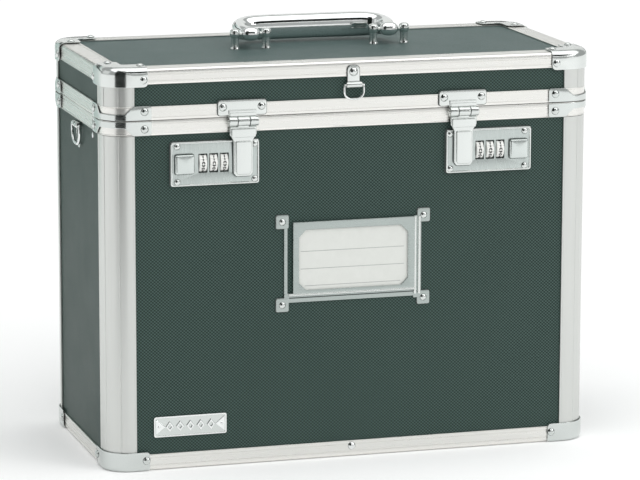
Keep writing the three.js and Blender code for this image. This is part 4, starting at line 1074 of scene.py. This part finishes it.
# ------------ camera, light and floor
FLOOR_REACH = 30
LIT_PLACE = Vector((0, 0, 0.18))
CAMERA_PLACE, CAMERA_DEGREES, LENS = (-0.9052, -3.0292, 0.7879), (79.01, -0.118, -16.64), 202.56


def stage_quad(name, corners, material):
    """A flat part of the studio through four corners, in metres."""
    mesh = bpy.data.meshes.new(name)
    mesh.from_pydata(corners, [], [(0, 1, 2, 3)])
    mesh.materials.append(material)
    board = in_scene(name, mesh)
    return board


def card(name, corners, near, far):
    """A card round the case that is only seen in polished metal; its grey runs from near to far along X."""
    n = Nodes(name)
    split = n.add("ShaderNodeSeparateXYZ")
    n.link(n.place, split.inputs["Vector"])
    along_x = n.ramp(split.outputs["X"], 0, 1, (corners[0][0], corners[1][0]))
    n.colours(n.math("ADD", along_x, n.math("MULTIPLY", n.noise(4.0), 0.02)), near, far)
    n.set(Roughness=1.0, Specular_IOR_Level=0.0)
    board = stage_quad(name, corners, n.material)
    board.visible_camera = False
    board.visible_diffuse = False
    board.visible_shadow = False


def upright(near, far, low, high):
    return [(*near, low), (*far, low), (*far, high), (*near, high)]


def cards():
    black = (0.012, 0.016, 0.014)
    card("black_card", upright((-0.33, -1.35), (-1.22, -0.92), 0, 2.4), black, black)
    card("grey_card", upright((-0.30, 1.2), (-1.7, 0.9), 0, 1.1), (0.45, 0.55, 0.525), (0.94, 0.96, 0.955))
    card("eave_card", upright((-0.10, 1.17), (-1.7, 0.87), 0.66, 0.82), black, black)
    card("horizon_card", upright((4.0, 3.0), (-3.0, 3.0), 0.36, 0.55), black, black)
    card("back_card", upright((4.5, 3.3), (-3.5, 3.3), 0, 3.0), (0.80, 0.81, 0.80), (0.84, 0.84, 0.83))
    card("front_card", upright((1.6, -1.6), (-1.2, -1.6), 0.95, 1.85), black, black)


def pale_floor():
    n = Nodes("pale_floor")
    n.colours(n.noise(3.0, 2.0), (0.95, 0.95, 0.95), (0.97, 0.97, 0.97))
    n.set(Roughness=1.0, Specular_IOR_Level=0.0, Emission_Color=(1, 1, 1, 1), Emission_Strength=0.05)
    r = FLOOR_REACH
    stage_quad("floor", [(-r, -r, 0), (r, -r, 0), (r, r, 0), (-r, r, 0)], n.material)


def soft_lights():
    """A wide overhead sun, as even as a big light tent, and two large boxes of light."""
    sun = bpy.data.lights.new("tent", "SUN")
    sun.energy = 2.0
    sun.angle = math.radians(100)
    in_scene("tent", sun).rotation_euler = Euler([math.radians(a) for a in (22, 8, 0)])
    boxes = [("right_box", (1.9, -2.0, 1.5), 1.0, 11), ("left_box", (-3.0, 0.2, 1.4), 1.8, 4)]
    for name, place, size, power in boxes:
        light = bpy.data.lights.new(name, "AREA")
        light.shape = "SQUARE"
        light.size = size
        light.energy = power
        holder = in_scene(name, light)
        holder.location = place
        holder.rotation_euler = (LIT_PLACE - Vector(place)).to_track_quat("-Z", "Y").to_euler()


def studio():
    scene = bpy.context.scene
    scene.view_settings.view_transform = "Standard"
    world = bpy.data.worlds.new("studio")
    world.use_nodes = True
    sky = world.node_tree.nodes["Background"].inputs
    sky["Color"].default_value = (0.95, 0.98, 0.97, 1)
    sky["Strength"].default_value = 0.45
    scene.world = world
    pale_floor()
    cards()
    soft_lights()
    camera = bpy.data.cameras.new("camera")
    camera.sensor_width = 36
    camera.lens = LENS
    camera.clip_end = 100
    eye = in_scene("camera", camera)
    eye.location = CAMERA_PLACE
    eye.rotation_euler = Euler([math.radians(a) for a in CAMERA_DEGREES])
    scene.camera = eye


# ------------ carried-over model nodes
def dress(nodes, material, bevel=0.0):
    """Gives model nodes a material, and softens their edges where they stay in sight."""
    for name in nodes:
        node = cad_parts[name]
        node.data.materials.clear()
        node.data.materials.append(material)
        if not bevel:
            continue
        node.data.polygons.foreach_set("use_smooth", [True] * len(node.data.polygons))
        weld = node.modifiers.new("weld", "WELD")
        weld.merge_threshold = 0.00001
        soften = node.modifiers.new("soften", "BEVEL")
        soften.width = bevel * MM
        soften.segments = 2
        soften.limit_method = "ANGLE"
        soften.angle_limit = math.radians(31)
        soften.harden_normals = True


def both(*names):
    return [f"{name}_{side}" for name in names for side in ("left", "right")]


def carried_over():
    dress(["front_panel", "back_panel", "left_panel", "right_panel", "lid_wall"], M["wall"])
    dress(["floor_panel", "lid_top_panel"], M["top"])
    dress(["base_lining", "lid_lining"], M["felt"])
    dress(["label_card"], M["paper"])
    dress(["hinge_leaf_base", "hinge_leaf_lid", "hinge_pin", "stay_lower", "stay_upper"], M["steel"], 0.2)
    dress(both("lock_box", "wheel_axle"), M["steel"], 0.15)


base_rim()
lid_rim()
top_and_bottom_rails()
posts()
top_caps()
rim_fittings()
bottom_brackets()
loose_rivets()
carried_over()
for hand in (-1, 1):
    lock_plate(hand)
    lock_slider(hand)
    number_wheels(hand)
    hasp_bracket(hand)
    hasp_tongue(hand)
handle_bow()
handle_mounts()
lid_tie_ring()
for hand in (-1, 1):
    side_tie_ring(hand)
label_holder()
label_rules()
name_badge()
studio()
